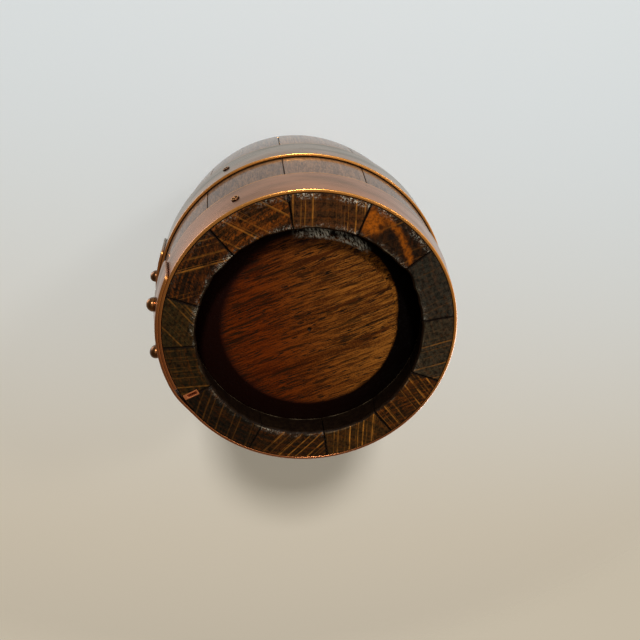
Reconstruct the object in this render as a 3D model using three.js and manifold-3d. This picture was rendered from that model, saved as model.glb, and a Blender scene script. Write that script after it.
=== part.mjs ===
// A coopered oak pitcher bound with copper hoops, standing on its base with its axis on +Z.
// The spout faces -X, the handle +X, and the riveted laps of the hoops lie on the +Y side.
import * as THREE from 'three';
import { mergeVertices } from 'three/addons/utils/BufferGeometryUtils.js';
import Module from 'manifold-3d';

const wasm = await Module();
wasm.setup();

// Driving dimensions, in millimetres and degrees

// Barrel
const RIM_HEIGHT = 250;
const BELLY_HEIGHT = 114;
const BASE_RADIUS = 70.5;
const BELLY_RADIUS = 84.3;
const RIM_RADIUS = 64;
const CHIME_WALL = 16;
const BELLY_WALL = 14;
const RIM_WALL = 12;
const EDGE_CHAMFER = 1.4;

// Staves, as shares of the circle counted from the spout stave
const STAVE_SHARES = [30, 29.5, 30, 30, 31, 30.5, 35, 37, 24, 21.5, 31, 30.5];
const HANDLE_STAVE = 6;
const JOINT_GAP = 0.3;

// Gap kept between pieces that bear on each other
const FIT_GAP = 0.35;

// Bottom head, let into a groove (the croze) inside the staves
const HEAD_RECESS = 13;
const HEAD_THICKNESS = 13;
const HEAD_FLAT_RADIUS = 44.5;
const HEAD_TOP_BEVEL = 4;
const HEAD_EDGE = 4.3;
const CROZE_HEIGHT = 21.2;
const CROZE_DEPTH = 3.2;

// Pouring lip carved from the spout stave
const LIP_RISE = 12;
const LIP_REACH = 10;
const LIP_SCOOP = 5.5;
const SCOOP_LENGTH = 34;
const LIP_SWELL = 1.4;

// Copper hoops
const HOOP_THICKNESS = 1.2;
const CHIME_HOOP_WIDTH = 19;
const CHIME_HOOP_LIFT = 0.25;
const LOWER_HOOP_WIDTH = 25;
const LOWER_HOOP_HEIGHT = 49;
const UPPER_HOOP_WIDTH = 19;
const UPPER_HOOP_DROP = 37;
const RIM_HOOP_WIDTH = 19;
const RIM_HOOP_DROP = 6;
const CHIME_LAP_ANGLE = 87;
const LOWER_LAP_ANGLE = 84;
const UPPER_LAP_ANGLE = 86;
const RIM_LAP_ANGLE = 88;
const LAP_LENGTH = 62;
const LAP_RAMP = 18;
const LAP_GAP = 0.3;

// Rivets through the laps
const RIVET_SPACING = 24;
const RIVET_HEAD_RADIUS = 3.4;
const RIVET_HEAD_HEIGHT = 3.6;
const RIVET_SHANK_RADIUS = 1.6;

// Nails that pin each hoop to the staves
const NAIL_COUNT = 3;
const NAIL_HEAD_RADIUS = 2;
const NAIL_CROWN_RADIUS = 1.4;
const NAIL_HEAD_HEIGHT = 0.8;
const NAIL_CROWN_HEIGHT = 0.2;
const NAIL_SHANK_RADIUS = 0.8;
const NAIL_LENGTH = 8;

// Handle, between the two belly hoops
const FOOT_CLEARANCE = 6;
const FOOT_HEIGHT = 28;
const FOOT_WIDTH = 30;
const FINGER_GAP = 38;
const GRIP_DEPTH = 19;
const GRIP_WIDTH = 24;
const HANDLE_ARM = 28.5;
const HANDLE_CROWN = 16;
const HANDLE_SAG = 10;
const HANDLE_ROUNDNESS = 2.6;
const FOOT_FLARE = 4;

// Screws that hold the handle's feet from inside the barrel
const SCREWS_PER_FOOT = 2;
const SCREW_SPACING = 11;
const SCREW_HEAD_RADIUS = 4;
const SCREW_CROWN_RADIUS = 2.4;
const SCREW_HEAD_HEIGHT = 2.6;
const SCREW_CROWN_HEIGHT = 1.6;
const SCREW_SHANK_RADIUS = 2;
const SCREW_GRIP = 11;

// Folded copper shim driven into one stave joint at the chime
const SHIM_JOINT = 8;
const SHIM_LENGTH = 8;
const SHIM_WIDTH = 3;
const SHIM_DEPTH = 10;
const SHIM_LEAF = 0.9;
const SHIM_SETBACK = 0.4;

// Fineness of the facets
const STAVE_LEVELS = 13;
const STAVE_FACETS = 4;
const SPOUT_FACETS = 8;
const FLARE_LEVELS = 3;
const HOOP_STEP = 6;
const RIVET_DOME_STEPS = 4;
const HANDLE_STEPS = 26;
const HANDLE_SIDES = 14;
const HEAD_SIDES = 48;
const CUTTER_SIDES = 60;
const ROUND_SIDES = 10;
const NAIL_SIDES = 8;
const WELD_DISTANCE = 1e-4;

const DEGREE = Math.PI / 180;

// Finishes
const OAK = { color: 0x4a2c18, roughness: 0.45, metalness: 0 };
const HEAD_OAK = { color: 0x6b3a1e, roughness: 0.4, metalness: 0 };
const HANDLE_OAK = { color: 0x5a341c, roughness: 0.4, metalness: 0 };
const COPPER = { color: 0xb8683f, roughness: 0.25, metalness: 1 };
const DARK_COPPER = { color: 0x5b3a24, roughness: 0.4, metalness: 1 };

const pitcher = new THREE.Group();

function addPiece(name, geometry, finish) {
  const mesh = new THREE.Mesh(geometry, new THREE.MeshStandardMaterial(finish));
  mesh.name = name;
  pitcher.add(mesh);
}

// Geometry helpers

// Keeps positions only, with shared corners merged and empty triangles left out.
function welded(geometry) {
  const bare = geometry.clone();
  bare.deleteAttribute('normal');
  bare.deleteAttribute('uv');
  const merged = mergeVertices(bare, WELD_DISTANCE);
  const source = merged.getIndex().array;
  const kept = [];
  for (let i = 0; i < source.length; i += 3) {
    const [a, b, c] = [source[i], source[i + 1], source[i + 2]];
    if (a !== b && b !== c && c !== a) kept.push(a, b, c);
  }
  merged.setIndex(kept);
  return merged;
}

function toSolid(geometry) {
  const mesh = welded(geometry);
  return new wasm.Manifold(new wasm.Mesh({
    numProp: 3,
    vertProperties: new Float32Array(mesh.getAttribute('position').array),
    triVerts: new Uint32Array(mesh.getIndex().array),
  }));
}

function toGeometry(solid) {
  const mesh = solid.getMesh();
  const geometry = new THREE.BufferGeometry();
  geometry.setAttribute('position', new THREE.BufferAttribute(mesh.vertProperties, 3));
  geometry.setIndex(new THREE.BufferAttribute(mesh.triVerts, 1));
  return geometry;
}

function cut(geometry, cutters) {
  if (cutters.length === 0) return geometry;
  return toGeometry(cutters.reduce((solid, cutter) => solid.subtract(toSolid(cutter)), toSolid(geometry)));
}

// Joins closed ring sections in order and caps both ends with the flat outline they share.
function loft(rings, outline) {
  const count = rings[0].length;
  const positions = rings.flat().flatMap((point) => point.toArray());
  const index = [];
  for (let k = 0; k + 1 < rings.length; k += 1) {
    for (let i = 0; i < count; i += 1) {
      const next = (i + 1) % count;
      const [a, b] = [k * count + i, k * count + next];
      const [c, d] = [a + count, b + count];
      index.push(a, c, d, a, d, b);
    }
  }
  const last = (rings.length - 1) * count;
  for (const [a, b, c] of THREE.ShapeUtils.triangulateShape(outline, [])) {
    index.push(a, b, c, last + a, last + c, last + b);
  }
  const geometry = new THREE.BufferGeometry();
  geometry.setAttribute('position', new THREE.Float32BufferAttribute(positions, 3));
  geometry.setIndex(index);
  return geometry;
}

// Revolves an outline of [radius, height] points about +Z.
function revolve(outline, sides) {
  const points = outline.map(([radius, height]) => new THREE.Vector2(radius, height));
  return welded(new THREE.LatheGeometry(points, sides).rotateX(90 * DEGREE));
}

function atAngle(radius, angle, height) {
  return new THREE.Vector3(radius * Math.cos(angle), radius * Math.sin(angle), height);
}

function spread(from, to, steps) {
  return Array.from({ length: steps + 1 }, (_, i) => from + ((to - from) * i) / steps);
}

// Barrel form: each face bulges as a parabola from the base to the belly and on to the rim.

function bulge(height, base, belly, rim) {
  const below = height < BELLY_HEIGHT;
  const span = below ? BELLY_HEIGHT : RIM_HEIGHT - BELLY_HEIGHT;
  const share = (height - BELLY_HEIGHT) / span;
  return belly - (belly - (below ? base : rim)) * share * share;
}

function outerRadius(height) {
  return bulge(height, BASE_RADIUS, BELLY_RADIUS, RIM_RADIUS);
}

function innerRadius(height) {
  return bulge(height, BASE_RADIUS - CHIME_WALL, BELLY_RADIUS - BELLY_WALL, RIM_RADIUS - RIM_WALL);
}

// Turns and moves a piece made about +Z so that it stands square on the barrel at a place,
// with its own zero at the given distance outside the wood.
function seatOnBarrel(geometry, angle, height, distance) {
  const slope = (outerRadius(height + 1) - outerRadius(height - 1)) / 2;
  const normal = new THREE.Vector3(Math.cos(angle), Math.sin(angle), -slope).normalize();
  const turn = new THREE.Quaternion().setFromUnitVectors(new THREE.Vector3(0, 0, 1), normal);
  const place = atAngle(outerRadius(height), angle, height).addScaledVector(normal, distance);
  return geometry.clone().applyMatrix4(new THREE.Matrix4().compose(place, turn, new THREE.Vector3(1, 1, 1)));
}

// Hoops: their heights, then the places of their rivets and nails

const UPPER_HOOP_HEIGHT = RIM_HEIGHT - UPPER_HOOP_DROP - UPPER_HOOP_WIDTH;
const RIM_HOOP_HEIGHT = RIM_HEIGHT - RIM_HOOP_DROP - RIM_HOOP_WIDTH;

const HOOPS = [
  { name: 'chime_hoop', bottom: CHIME_HOOP_LIFT, width: CHIME_HOOP_WIDTH, lap: CHIME_LAP_ANGLE },
  { name: 'lower_belly_hoop', bottom: LOWER_HOOP_HEIGHT, width: LOWER_HOOP_WIDTH, lap: LOWER_LAP_ANGLE },
  { name: 'upper_belly_hoop', bottom: UPPER_HOOP_HEIGHT, width: UPPER_HOOP_WIDTH, lap: UPPER_LAP_ANGLE },
  { name: 'rim_hoop', bottom: RIM_HOOP_HEIGHT, width: RIM_HOOP_WIDTH, lap: RIM_LAP_ANGLE },
];

const LAP_LIFT = HOOP_THICKNESS + LAP_GAP;

// Heights of the undersides of the heads above a hoop's inner face: a nail goes through one layer of
// copper, and a rivet through both layers of the lap.
const NAIL_SEAT = HOOP_THICKNESS + FIT_GAP;
const RIVET_SEAT = LAP_LIFT + HOOP_THICKNESS + FIT_GAP;

function hoopMiddle(hoop) {
  return hoop.bottom + hoop.width / 2;
}

// How far the bulging wood stands out past the straight line between a hoop's two edges.
function hoopSag(hoop) {
  const edges = (outerRadius(hoop.bottom) + outerRadius(hoop.bottom + hoop.width)) / 2;
  return Math.max(0, outerRadius(hoopMiddle(hoop)) - edges);
}

function rivetAngles(hoop) {
  const half = RIVET_SPACING / 2 / outerRadius(hoopMiddle(hoop));
  return [hoop.lap * DEGREE - half, hoop.lap * DEGREE + half];
}

// Nails are spread evenly, with the lap midway between two of them.
function nailAngles(hoop) {
  return Array.from({ length: NAIL_COUNT }, (_, i) => (hoop.lap + (360 / NAIL_COUNT) * (i + 0.5)) * DEGREE);
}

// A straight pin-shaped cutter about +Z, from one height to another.
function holeCutter(radius, from, to, sides) {
  return revolve([[0, from], [radius, from], [radius, to], [0, to]], sides);
}

function nailHole(hoop, angle) {
  const hole = holeCutter(NAIL_SHANK_RADIUS + FIT_GAP, -NAIL_LENGTH - FIT_GAP, NAIL_SEAT, NAIL_SIDES);
  return seatOnBarrel(hole, angle, hoopMiddle(hoop), FIT_GAP);
}

function rivetHole(hoop, angle) {
  const hole = holeCutter(RIVET_SHANK_RADIUS + FIT_GAP, -FIT_GAP, RIVET_SEAT, ROUND_SIDES);
  return seatOnBarrel(hole, angle, hoopMiddle(hoop), FIT_GAP);
}

// One strip bent round the barrel; its outer end rides up over its inner end and makes the lap.
function hoopStrip(hoop) {
  const middleRadius = outerRadius(hoopMiddle(hoop));
  const halfLap = LAP_LENGTH / 2 / middleRadius;
  const ramp = LAP_RAMP / middleRadius;
  const overlapEnd = hoop.lap * DEGREE + halfLap + 2 * Math.PI;
  const rampEnd = hoop.lap * DEGREE - halfLap + 2 * Math.PI;
  const innerEnd = rampEnd - 2 * Math.PI + FIT_GAP / middleRadius;
  const [low, high] = [hoop.bottom, hoop.bottom + hoop.width];
  const clearance = FIT_GAP + hoopSag(hoop);
  const section = [
    [outerRadius(low) + clearance + HOOP_THICKNESS, low],
    [outerRadius(high) + clearance + HOOP_THICKNESS, high],
    [outerRadius(high) + clearance, high],
    [outerRadius(low) + clearance, low],
  ];
  const steps = Math.round((overlapEnd - innerEnd) / (HOOP_STEP * DEGREE));
  const rings = spread(innerEnd, overlapEnd, steps).map((angle) => {
    const lift = LAP_LIFT * THREE.MathUtils.smoothstep(angle, rampEnd - ramp, rampEnd);
    return section.map(([radius, z]) => atAngle(radius + lift, angle, z));
  });
  return loft(rings, section.map(([radius, z]) => new THREE.Vector2(radius, z)));
}

// Staves

const SHARE_TOTAL = STAVE_SHARES.reduce((sum, share) => sum + share, 0);
const STAVE_ANGLES = STAVE_SHARES.map((share) => (share / SHARE_TOTAL) * 2 * Math.PI);

// Angle at which a stave starts, with the spout stave centred on -X.
function staveStart(number) {
  const before = STAVE_ANGLES.slice(0, number).reduce((sum, angle) => sum + angle, 0);
  return Math.PI - STAVE_ANGLES[0] / 2 + before;
}

// Outline of a stave in radius and height: up the outside, over the rim and down the inside.
function staveOutline() {
  const crozeTop = CROZE_HEIGHT + HEAD_EDGE + FIT_GAP;
  const crozeBottom = CROZE_HEIGHT - FIT_GAP;
  const crozeLip = crozeBottom - headBevel() * CROZE_DEPTH;
  const outside = spread(0, RIM_HEIGHT - EDGE_CHAMFER, STAVE_LEVELS).map((z) => [outerRadius(z), z]);
  const inside = spread(RIM_HEIGHT - EDGE_CHAMFER, crozeTop + CROZE_DEPTH / 2, STAVE_LEVELS - 1)
    .map((z) => [innerRadius(z), z]);
  return [
    ...outside,
    [RIM_RADIUS - EDGE_CHAMFER, RIM_HEIGHT],
    [RIM_RADIUS - RIM_WALL + EDGE_CHAMFER, RIM_HEIGHT],
    ...inside,
    [crozeRadius(), crozeTop],
    [crozeRadius(), crozeBottom],
    [innerRadius(crozeLip), crozeLip - headBevel() * FIT_GAP],
    [innerRadius(EDGE_CHAMFER), EDGE_CHAMFER],
    [innerRadius(0) + EDGE_CHAMFER, 0],
  ];
}

function crozeRadius() {
  return innerRadius(CROZE_HEIGHT) + CROZE_DEPTH;
}

// Rise of the wide bevel under the head's rim, for each millimetre outwards.
// The croze's lower side follows it.
function headBevel() {
  return (CROZE_HEIGHT - HEAD_RECESS) / (crozeRadius() - FIT_GAP - HEAD_FLAT_RADIUS);
}

// The lip flares from just above the rim hoop.
const FLARE_HEIGHT = RIM_HEIGHT - RIM_HOOP_DROP + FIT_GAP;

// Flares an outline outwards and upwards into the lip, by a share from 0 at the joints to 1 at mid stave.
function lipOutline(outline, share) {
  const scoopStart = RIM_HEIGHT - SCOOP_LENGTH;
  return outline.map(([radius, z]) => {
    const flare = THREE.MathUtils.clamp((z - FLARE_HEIGHT) / (RIM_HEIGHT - FLARE_HEIGHT), 0, 1);
    const isInside = radius < (innerRadius(z) + outerRadius(z)) / 2;
    const scoop = isInside ? THREE.MathUtils.smoothstep(z, scoopStart, FLARE_HEIGHT) : 0;
    const reach = LIP_REACH * flare * flare + LIP_SCOOP * scoop;
    return [radius + share * reach, z + share * LIP_RISE * flare];
  });
}

// The spout stave needs extra heights where the lip flares above the rim hoop.
function spoutOutline() {
  const flareHeights = spread(FLARE_HEIGHT, RIM_HEIGHT - EDGE_CHAMFER, FLARE_LEVELS);
  const plain = staveOutline();
  const top = plain.findIndex(([, z]) => z === RIM_HEIGHT);
  const below = ([, z]) => z < FLARE_HEIGHT - EDGE_CHAMFER;
  return [
    ...plain.slice(0, top).filter(below),
    ...flareHeights.map((z) => [outerRadius(z), z]),
    ...plain.slice(top, top + 2),
    ...flareHeights.map((z) => [innerRadius(z), z]).reverse(),
    ...plain.slice(top + 2).filter(below),
  ];
}

function stave(number) {
  const isSpout = number === 0;
  const outline = isSpout ? spoutOutline() : staveOutline();
  const facets = isSpout ? SPOUT_FACETS : STAVE_FACETS;
  const start = staveStart(number);
  const end = start + STAVE_ANGLES[number];
  const rings = spread(0, 1, facets).map((share) => {
    const lip = Math.sin(Math.PI * share) ** LIP_SWELL;
    const points = isSpout ? lipOutline(outline, lip) : outline;
    return points.map(([radius, z]) => {
      const inset = Math.asin(JOINT_GAP / 2 / radius);
      return atAngle(radius, THREE.MathUtils.lerp(start + inset, end - inset, share), z);
    });
  });
  return loft(rings, outline.map(([radius, z]) => new THREE.Vector2(radius, z)));
}

// Handle: an ear-shaped loop whose feet are cut to the curve of the barrel

const FOOT_BOTTOM = LOWER_HOOP_HEIGHT + LOWER_HOOP_WIDTH + FOOT_CLEARANCE + FOOT_HEIGHT / 2;
const FOOT_TOP = UPPER_HOOP_HEIGHT - FOOT_CLEARANCE - FOOT_HEIGHT / 2;

function handleCentreLine() {
  const grip = BELLY_RADIUS + FINGER_GAP + GRIP_DEPTH / 2;
  const middle = (FOOT_BOTTOM + FOOT_TOP) / 2;
  const point = (x, z) => new THREE.Vector3(x, 0, z);
  const lowerFoot = outerRadius(FOOT_BOTTOM);
  const upperFoot = outerRadius(FOOT_TOP);
  const path = new THREE.CurvePath();
  path.add(new THREE.CubicBezierCurve3(
    point(lowerFoot - BELLY_WALL / 2, FOOT_BOTTOM),
    point(lowerFoot + HANDLE_ARM, FOOT_BOTTOM - HANDLE_SAG),
    point(grip, FOOT_BOTTOM - HANDLE_SAG),
    point(grip, middle),
  ));
  path.add(new THREE.CubicBezierCurve3(
    point(grip, middle),
    point(grip, FOOT_TOP + HANDLE_CROWN),
    point(upperFoot + HANDLE_ARM, FOOT_TOP + HANDLE_CROWN),
    point(upperFoot - BELLY_WALL / 2, FOOT_TOP),
  ));
  return path;
}

function handleLoop() {
  const line = handleCentreLine();
  const across = new THREE.Vector3(0, 1, 0);
  const corner = 2 / HANDLE_ROUNDNESS;
  const round = (value) => Math.sign(value) * Math.abs(value) ** corner;
  const outline = spread(0, 2 * Math.PI, HANDLE_SIDES).slice(0, -1)
    .map((angle) => new THREE.Vector2(round(Math.cos(angle)), round(Math.sin(angle))));
  const rings = spread(0, 1, HANDLE_STEPS).map((share) => {
    const centre = line.getPointAt(share);
    const outward = new THREE.Vector3().crossVectors(across, line.getTangentAt(share)).normalize();
    const foot = Math.abs(Math.cos(Math.PI * share)) ** FOOT_FLARE;
    const halfDepth = THREE.MathUtils.lerp(GRIP_DEPTH, FOOT_HEIGHT, foot) / 2;
    const halfWidth = THREE.MathUtils.lerp(GRIP_WIDTH, FOOT_WIDTH, foot) / 2;
    return outline.map((point) => centre.clone()
      .addScaledVector(outward, point.x * halfDepth)
      .addScaledVector(across, -point.y * halfWidth));
  });
  return loft(rings, outline);
}

// The barrel's outside, swollen by the fit gap, that shapes the handle's feet.
function barrelCutter() {
  const heights = spread(EDGE_CHAMFER, RIM_HEIGHT - EDGE_CHAMFER, STAVE_LEVELS);
  const side = heights.map((z) => [outerRadius(z) + FIT_GAP, z]);
  return revolve([[0, heights[0]], ...side, [0, heights[heights.length - 1]]], CUTTER_SIDES);
}

// Screws run from inside the barrel, through the handle stave, into the handle's feet.

function screwHeights() {
  const offsets = Array.from(
    { length: SCREWS_PER_FOOT },
    (_, i) => (i - (SCREWS_PER_FOOT - 1) / 2) * SCREW_SPACING,
  );
  return [FOOT_BOTTOM, FOOT_TOP].flatMap((foot) => offsets.map((offset) => foot + offset));
}

function wallAt(height) {
  return outerRadius(height) - innerRadius(height);
}

function screw(height) {
  const seat = -wallAt(height) - FIT_GAP;
  const body = revolve([
    [0, seat - SCREW_HEAD_HEIGHT],
    [SCREW_CROWN_RADIUS, seat - SCREW_HEAD_HEIGHT],
    [SCREW_HEAD_RADIUS, seat - SCREW_HEAD_HEIGHT + SCREW_CROWN_HEIGHT],
    [SCREW_HEAD_RADIUS, seat],
    [SCREW_SHANK_RADIUS, seat],
    [SCREW_SHANK_RADIUS, SCREW_GRIP - SCREW_SHANK_RADIUS],
    [0, SCREW_GRIP],
  ], ROUND_SIDES);
  return seatOnBarrel(body, 0, height, 0);
}

function screwHole(height) {
  const reach = SCREW_GRIP + FIT_GAP;
  const hole = holeCutter(SCREW_SHANK_RADIUS + FIT_GAP, -2 * wallAt(height), reach, ROUND_SIDES);
  return seatOnBarrel(hole, 0, height, 0);
}

// A shim is a strip folded double, with its open edges flush with the chime.

function placedAtShimJoint(geometry) {
  return geometry.rotateZ(staveStart(SHIM_JOINT));
}

function shim() {
  const half = SHIM_WIDTH / 2;
  const fold = new THREE.Shape([
    new THREE.Vector2(-half, SHIM_SETBACK),
    new THREE.Vector2(-half + SHIM_LEAF, SHIM_SETBACK),
    new THREE.Vector2(-half + SHIM_LEAF, SHIM_DEPTH - SHIM_LEAF),
    new THREE.Vector2(half - SHIM_LEAF, SHIM_DEPTH - SHIM_LEAF),
    new THREE.Vector2(half - SHIM_LEAF, SHIM_SETBACK),
    new THREE.Vector2(half, SHIM_SETBACK),
    new THREE.Vector2(half, SHIM_DEPTH),
    new THREE.Vector2(-half, SHIM_DEPTH),
  ]);
  const strip = new THREE.ExtrudeGeometry(fold, { depth: SHIM_LENGTH, bevelEnabled: false });
  strip.rotateX(90 * DEGREE).rotateZ(90 * DEGREE);
  strip.translate(BASE_RADIUS - SHIM_LENGTH - FIT_GAP, 0, 0);
  return placedAtShimJoint(welded(strip));
}

// The slot is open at the chime and at the outside of the barrel.
function shimSlot() {
  const [inner, outer] = [BASE_RADIUS - SHIM_LENGTH - 2 * FIT_GAP, BELLY_RADIUS];
  const slot = new THREE.BoxGeometry(
    outer - inner,
    SHIM_WIDTH + 2 * FIT_GAP,
    2 * (SHIM_DEPTH + FIT_GAP),
  );
  slot.translate((inner + outer) / 2, 0, 0);
  return placedAtShimJoint(slot);
}

// Assembly

function angleWithin(angle, start, width) {
  const turn = THREE.MathUtils.euclideanModulo(angle - start, 2 * Math.PI);
  return turn < width;
}

STAVE_ANGLES.forEach((width, number) => {
  const holes = HOOPS.flatMap((hoop) => nailAngles(hoop)
    .filter((angle) => angleWithin(angle, staveStart(number), width))
    .map((angle) => nailHole(hoop, angle)));
  const isHandle = number === HANDLE_STAVE;
  if (isHandle) holes.push(...screwHeights().map(screwHole));
  if (number === SHIM_JOINT || number === SHIM_JOINT - 1) holes.push(shimSlot());
  const plainName = `stave_${String(number + 1).padStart(2, '0')}`;
  const name = number === 0 ? 'spout_stave' : isHandle ? 'handle_stave' : plainName;
  addPiece(name, cut(stave(number), holes), OAK);
});

const headTop = HEAD_RECESS + HEAD_THICKNESS;
const headEdge = crozeRadius() - FIT_GAP;
addPiece('bottom_head', revolve([
  [0, HEAD_RECESS],
  [HEAD_FLAT_RADIUS, HEAD_RECESS],
  [headEdge, CROZE_HEIGHT],
  [headEdge, CROZE_HEIGHT + HEAD_EDGE],
  [headEdge - CROZE_DEPTH - HEAD_TOP_BEVEL, headTop],
  [0, headTop],
], HEAD_SIDES), HEAD_OAK);

for (const hoop of HOOPS) {
  const rivets = rivetAngles(hoop);
  const nails = nailAngles(hoop);
  const holes = [
    ...rivets.map((angle) => rivetHole(hoop, angle)),
    ...nails.map((angle) => nailHole(hoop, angle)),
  ];
  addPiece(hoop.name, cut(hoopStrip(hoop), holes), COPPER);

  // The head sits on the outer layer of the lap and the shank ends flush with the inner one.
  const rivetBody = revolve([
    [0, 0],
    [RIVET_SHANK_RADIUS, 0],
    [RIVET_SHANK_RADIUS, RIVET_SEAT],
    ...spread(0, 90 * DEGREE, RIVET_DOME_STEPS).map((turn) => [
      RIVET_HEAD_RADIUS * Math.cos(turn),
      RIVET_SEAT + RIVET_HEAD_HEIGHT * Math.sin(turn),
    ]),
  ], ROUND_SIDES);
  rivets.forEach((angle, i) => {
    const rivet = seatOnBarrel(rivetBody, angle, hoopMiddle(hoop), FIT_GAP);
    addPiece(`${hoop.name}_rivet_${i + 1}`, rivet, COPPER);
  });

  const nailBody = revolve([
    [0, -NAIL_LENGTH],
    [NAIL_SHANK_RADIUS, -NAIL_LENGTH + NAIL_SHANK_RADIUS],
    [NAIL_SHANK_RADIUS, NAIL_SEAT],
    [NAIL_HEAD_RADIUS, NAIL_SEAT],
    [NAIL_CROWN_RADIUS, NAIL_SEAT + NAIL_HEAD_HEIGHT - NAIL_CROWN_HEIGHT],
    [0, NAIL_SEAT + NAIL_HEAD_HEIGHT],
  ], NAIL_SIDES);
  nails.forEach((angle, i) => {
    const nail = seatOnBarrel(nailBody, angle, hoopMiddle(hoop), FIT_GAP);
    addPiece(`${hoop.name}_nail_${i + 1}`, nail, DARK_COPPER);
  });
}

addPiece('handle', cut(handleLoop(), [barrelCutter(), ...screwHeights().map(screwHole)]), HANDLE_OAK);
screwHeights().forEach((height, i) => addPiece(`handle_screw_${i + 1}`, screw(height), DARK_COPPER));
addPiece('chime_shim', shim(), COPPER);

export default pitcher;
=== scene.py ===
# %% [markdown]
# # A coopered pitcher in oak and copper
#
# A cooper makes a pitcher as a small barrel: tapered oak staves stand in a ring, a round head is let into
# a groove near their feet, and copper hoops pull the ring tight. This lesson takes the plain solids of
# such a pitcher, models every piece again with its rounded edges and small marks of the hand, and gives
# each one the finish of the real thing.
#
# The solids come first. They stay where they are, and every new piece takes its place from them.

import math

import bpy
from mathutils import Matrix, Vector
from mathutils.geometry import interpolate_bezier
from mathutils.noise import noise as wave_at


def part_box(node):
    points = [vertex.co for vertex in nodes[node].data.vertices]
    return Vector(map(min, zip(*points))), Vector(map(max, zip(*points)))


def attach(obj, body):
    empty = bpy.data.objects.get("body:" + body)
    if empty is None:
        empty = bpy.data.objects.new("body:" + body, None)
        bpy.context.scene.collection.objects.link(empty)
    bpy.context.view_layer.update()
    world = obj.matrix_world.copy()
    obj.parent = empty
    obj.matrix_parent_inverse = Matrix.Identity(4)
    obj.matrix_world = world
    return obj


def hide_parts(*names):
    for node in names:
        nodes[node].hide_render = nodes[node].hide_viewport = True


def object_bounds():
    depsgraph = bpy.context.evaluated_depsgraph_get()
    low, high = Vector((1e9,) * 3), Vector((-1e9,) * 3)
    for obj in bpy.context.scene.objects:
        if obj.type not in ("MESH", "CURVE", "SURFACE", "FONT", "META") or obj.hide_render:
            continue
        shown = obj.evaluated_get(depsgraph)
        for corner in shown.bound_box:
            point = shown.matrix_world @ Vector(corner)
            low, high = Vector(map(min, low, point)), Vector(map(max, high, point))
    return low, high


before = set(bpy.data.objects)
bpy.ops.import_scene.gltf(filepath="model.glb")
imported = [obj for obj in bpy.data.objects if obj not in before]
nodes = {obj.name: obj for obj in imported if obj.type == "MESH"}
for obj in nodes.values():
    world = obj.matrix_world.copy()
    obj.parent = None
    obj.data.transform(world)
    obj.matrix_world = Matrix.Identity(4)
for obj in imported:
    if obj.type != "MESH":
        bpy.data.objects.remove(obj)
cad_low, cad_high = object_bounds()
print("solids", len(nodes), "size in mm", [round(side * 1000, 1) for side in cad_high - cad_low])

# %% [markdown]
# ## The camera
#
# The pitcher is looked at from its base, a little from the spout's side, so the camera stands below and
# in front of it. A camera in Blender looks along its own -Z axis with +Y up, so its rotation is a matrix
# whose columns are the picture's right, its up and the way back to the viewer.

# %% Stand the camera in front of the base
MM = 0.001
CAMERA_PLACE = Vector((-106.63, 29.21, -215.86)) * MM
CAMERA_LOOK = Vector((0.4002, -0.1345, 0.9065)).normalized()
PICTURE_UP = Vector((-0.9076, 0.0788, 0.4124)).normalized()
PICTURE_RIGHT = CAMERA_LOOK.cross(PICTURE_UP).normalized()
SENSOR_WIDTH = 36
LENS_SHARE = 500 / 640
NEAREST = 5 * MM

camera_data = bpy.data.cameras.new("camera")
camera_data.sensor_width = SENSOR_WIDTH
camera_data.lens = SENSOR_WIDTH * LENS_SHARE
camera_data.clip_start = NEAREST
camera = bpy.data.objects.new("camera", camera_data)
turned = Matrix((PICTURE_RIGHT, PICTURE_RIGHT.cross(CAMERA_LOOK), -CAMERA_LOOK)).transposed()
camera.matrix_world = Matrix.Translation(CAMERA_PLACE) @ turned.to_4x4()
bpy.context.scene.collection.objects.link(camera)
bpy.context.scene.camera = camera
print("lens in mm", round(camera_data.lens, 1))

# %% [markdown]
# ## Measures of the barrel
#
# The outside and the inside of the barrel are both parabolas that are widest at the belly. Two short
# functions give their radius at any height, and everything that touches the barrel asks them.

# %% The barrel's curve
RIM_HEIGHT = 250 * MM
BELLY_HEIGHT = 114 * MM
BASE_RADIUS = 70.5 * MM
BELLY_RADIUS = 84.3 * MM
RIM_RADIUS = 64 * MM
CHIME_WALL = 16 * MM
BELLY_WALL = 14 * MM
RIM_WALL = 12 * MM
EDGE_CHAMFER = 1.4 * MM
FIT_GAP = 0.35 * MM


def bulge(height, base, belly, rim):
    below = height < BELLY_HEIGHT
    span = BELLY_HEIGHT if below else RIM_HEIGHT - BELLY_HEIGHT
    share = (height - BELLY_HEIGHT) / span
    return belly - (belly - (base if below else rim)) * share * share


def outer_radius(height):
    return bulge(height, BASE_RADIUS, BELLY_RADIUS, RIM_RADIUS)


def inner_radius(height):
    return bulge(height, BASE_RADIUS - CHIME_WALL, BELLY_RADIUS - BELLY_WALL, RIM_RADIUS - RIM_WALL)


def at_angle(radius, angle, height):
    return Vector((radius * math.cos(angle), radius * math.sin(angle), height))


def spread(start, end, steps):
    return [start + (end - start) * i / steps for i in range(steps + 1)]


def share_between(value, low, high):
    return min(1.0, max(0.0, (value - low) / (high - low)))


def soft_step(value, low, high):
    share = share_between(value, low, high)
    return share * share * (3 - 2 * share)


def node_angle(node):
    """The direction of a node from the barrel's axis, seen from above."""
    low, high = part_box(node)
    return math.atan2(low.y + high.y, low.x + high.x)


print("belly in mm", round(2000 * outer_radius(BELLY_HEIGHT), 1))

# %% [markdown]
# ## Modelling by hand, in code
#
# Every turned or bent piece here starts the same way as with the mouse: one point is extruded along a
# line. A line that starts and ends on the axis is spun all the way round and gives a closed round piece.
# A closed outline is filled first, and spun through part of a turn it gives a solid slice. Operators act
# on whatever is selected, so the helpers clear the selection first. The spin operator turns clockwise for
# a positive angle, so the helper hands it the angle with its sign changed.

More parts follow.
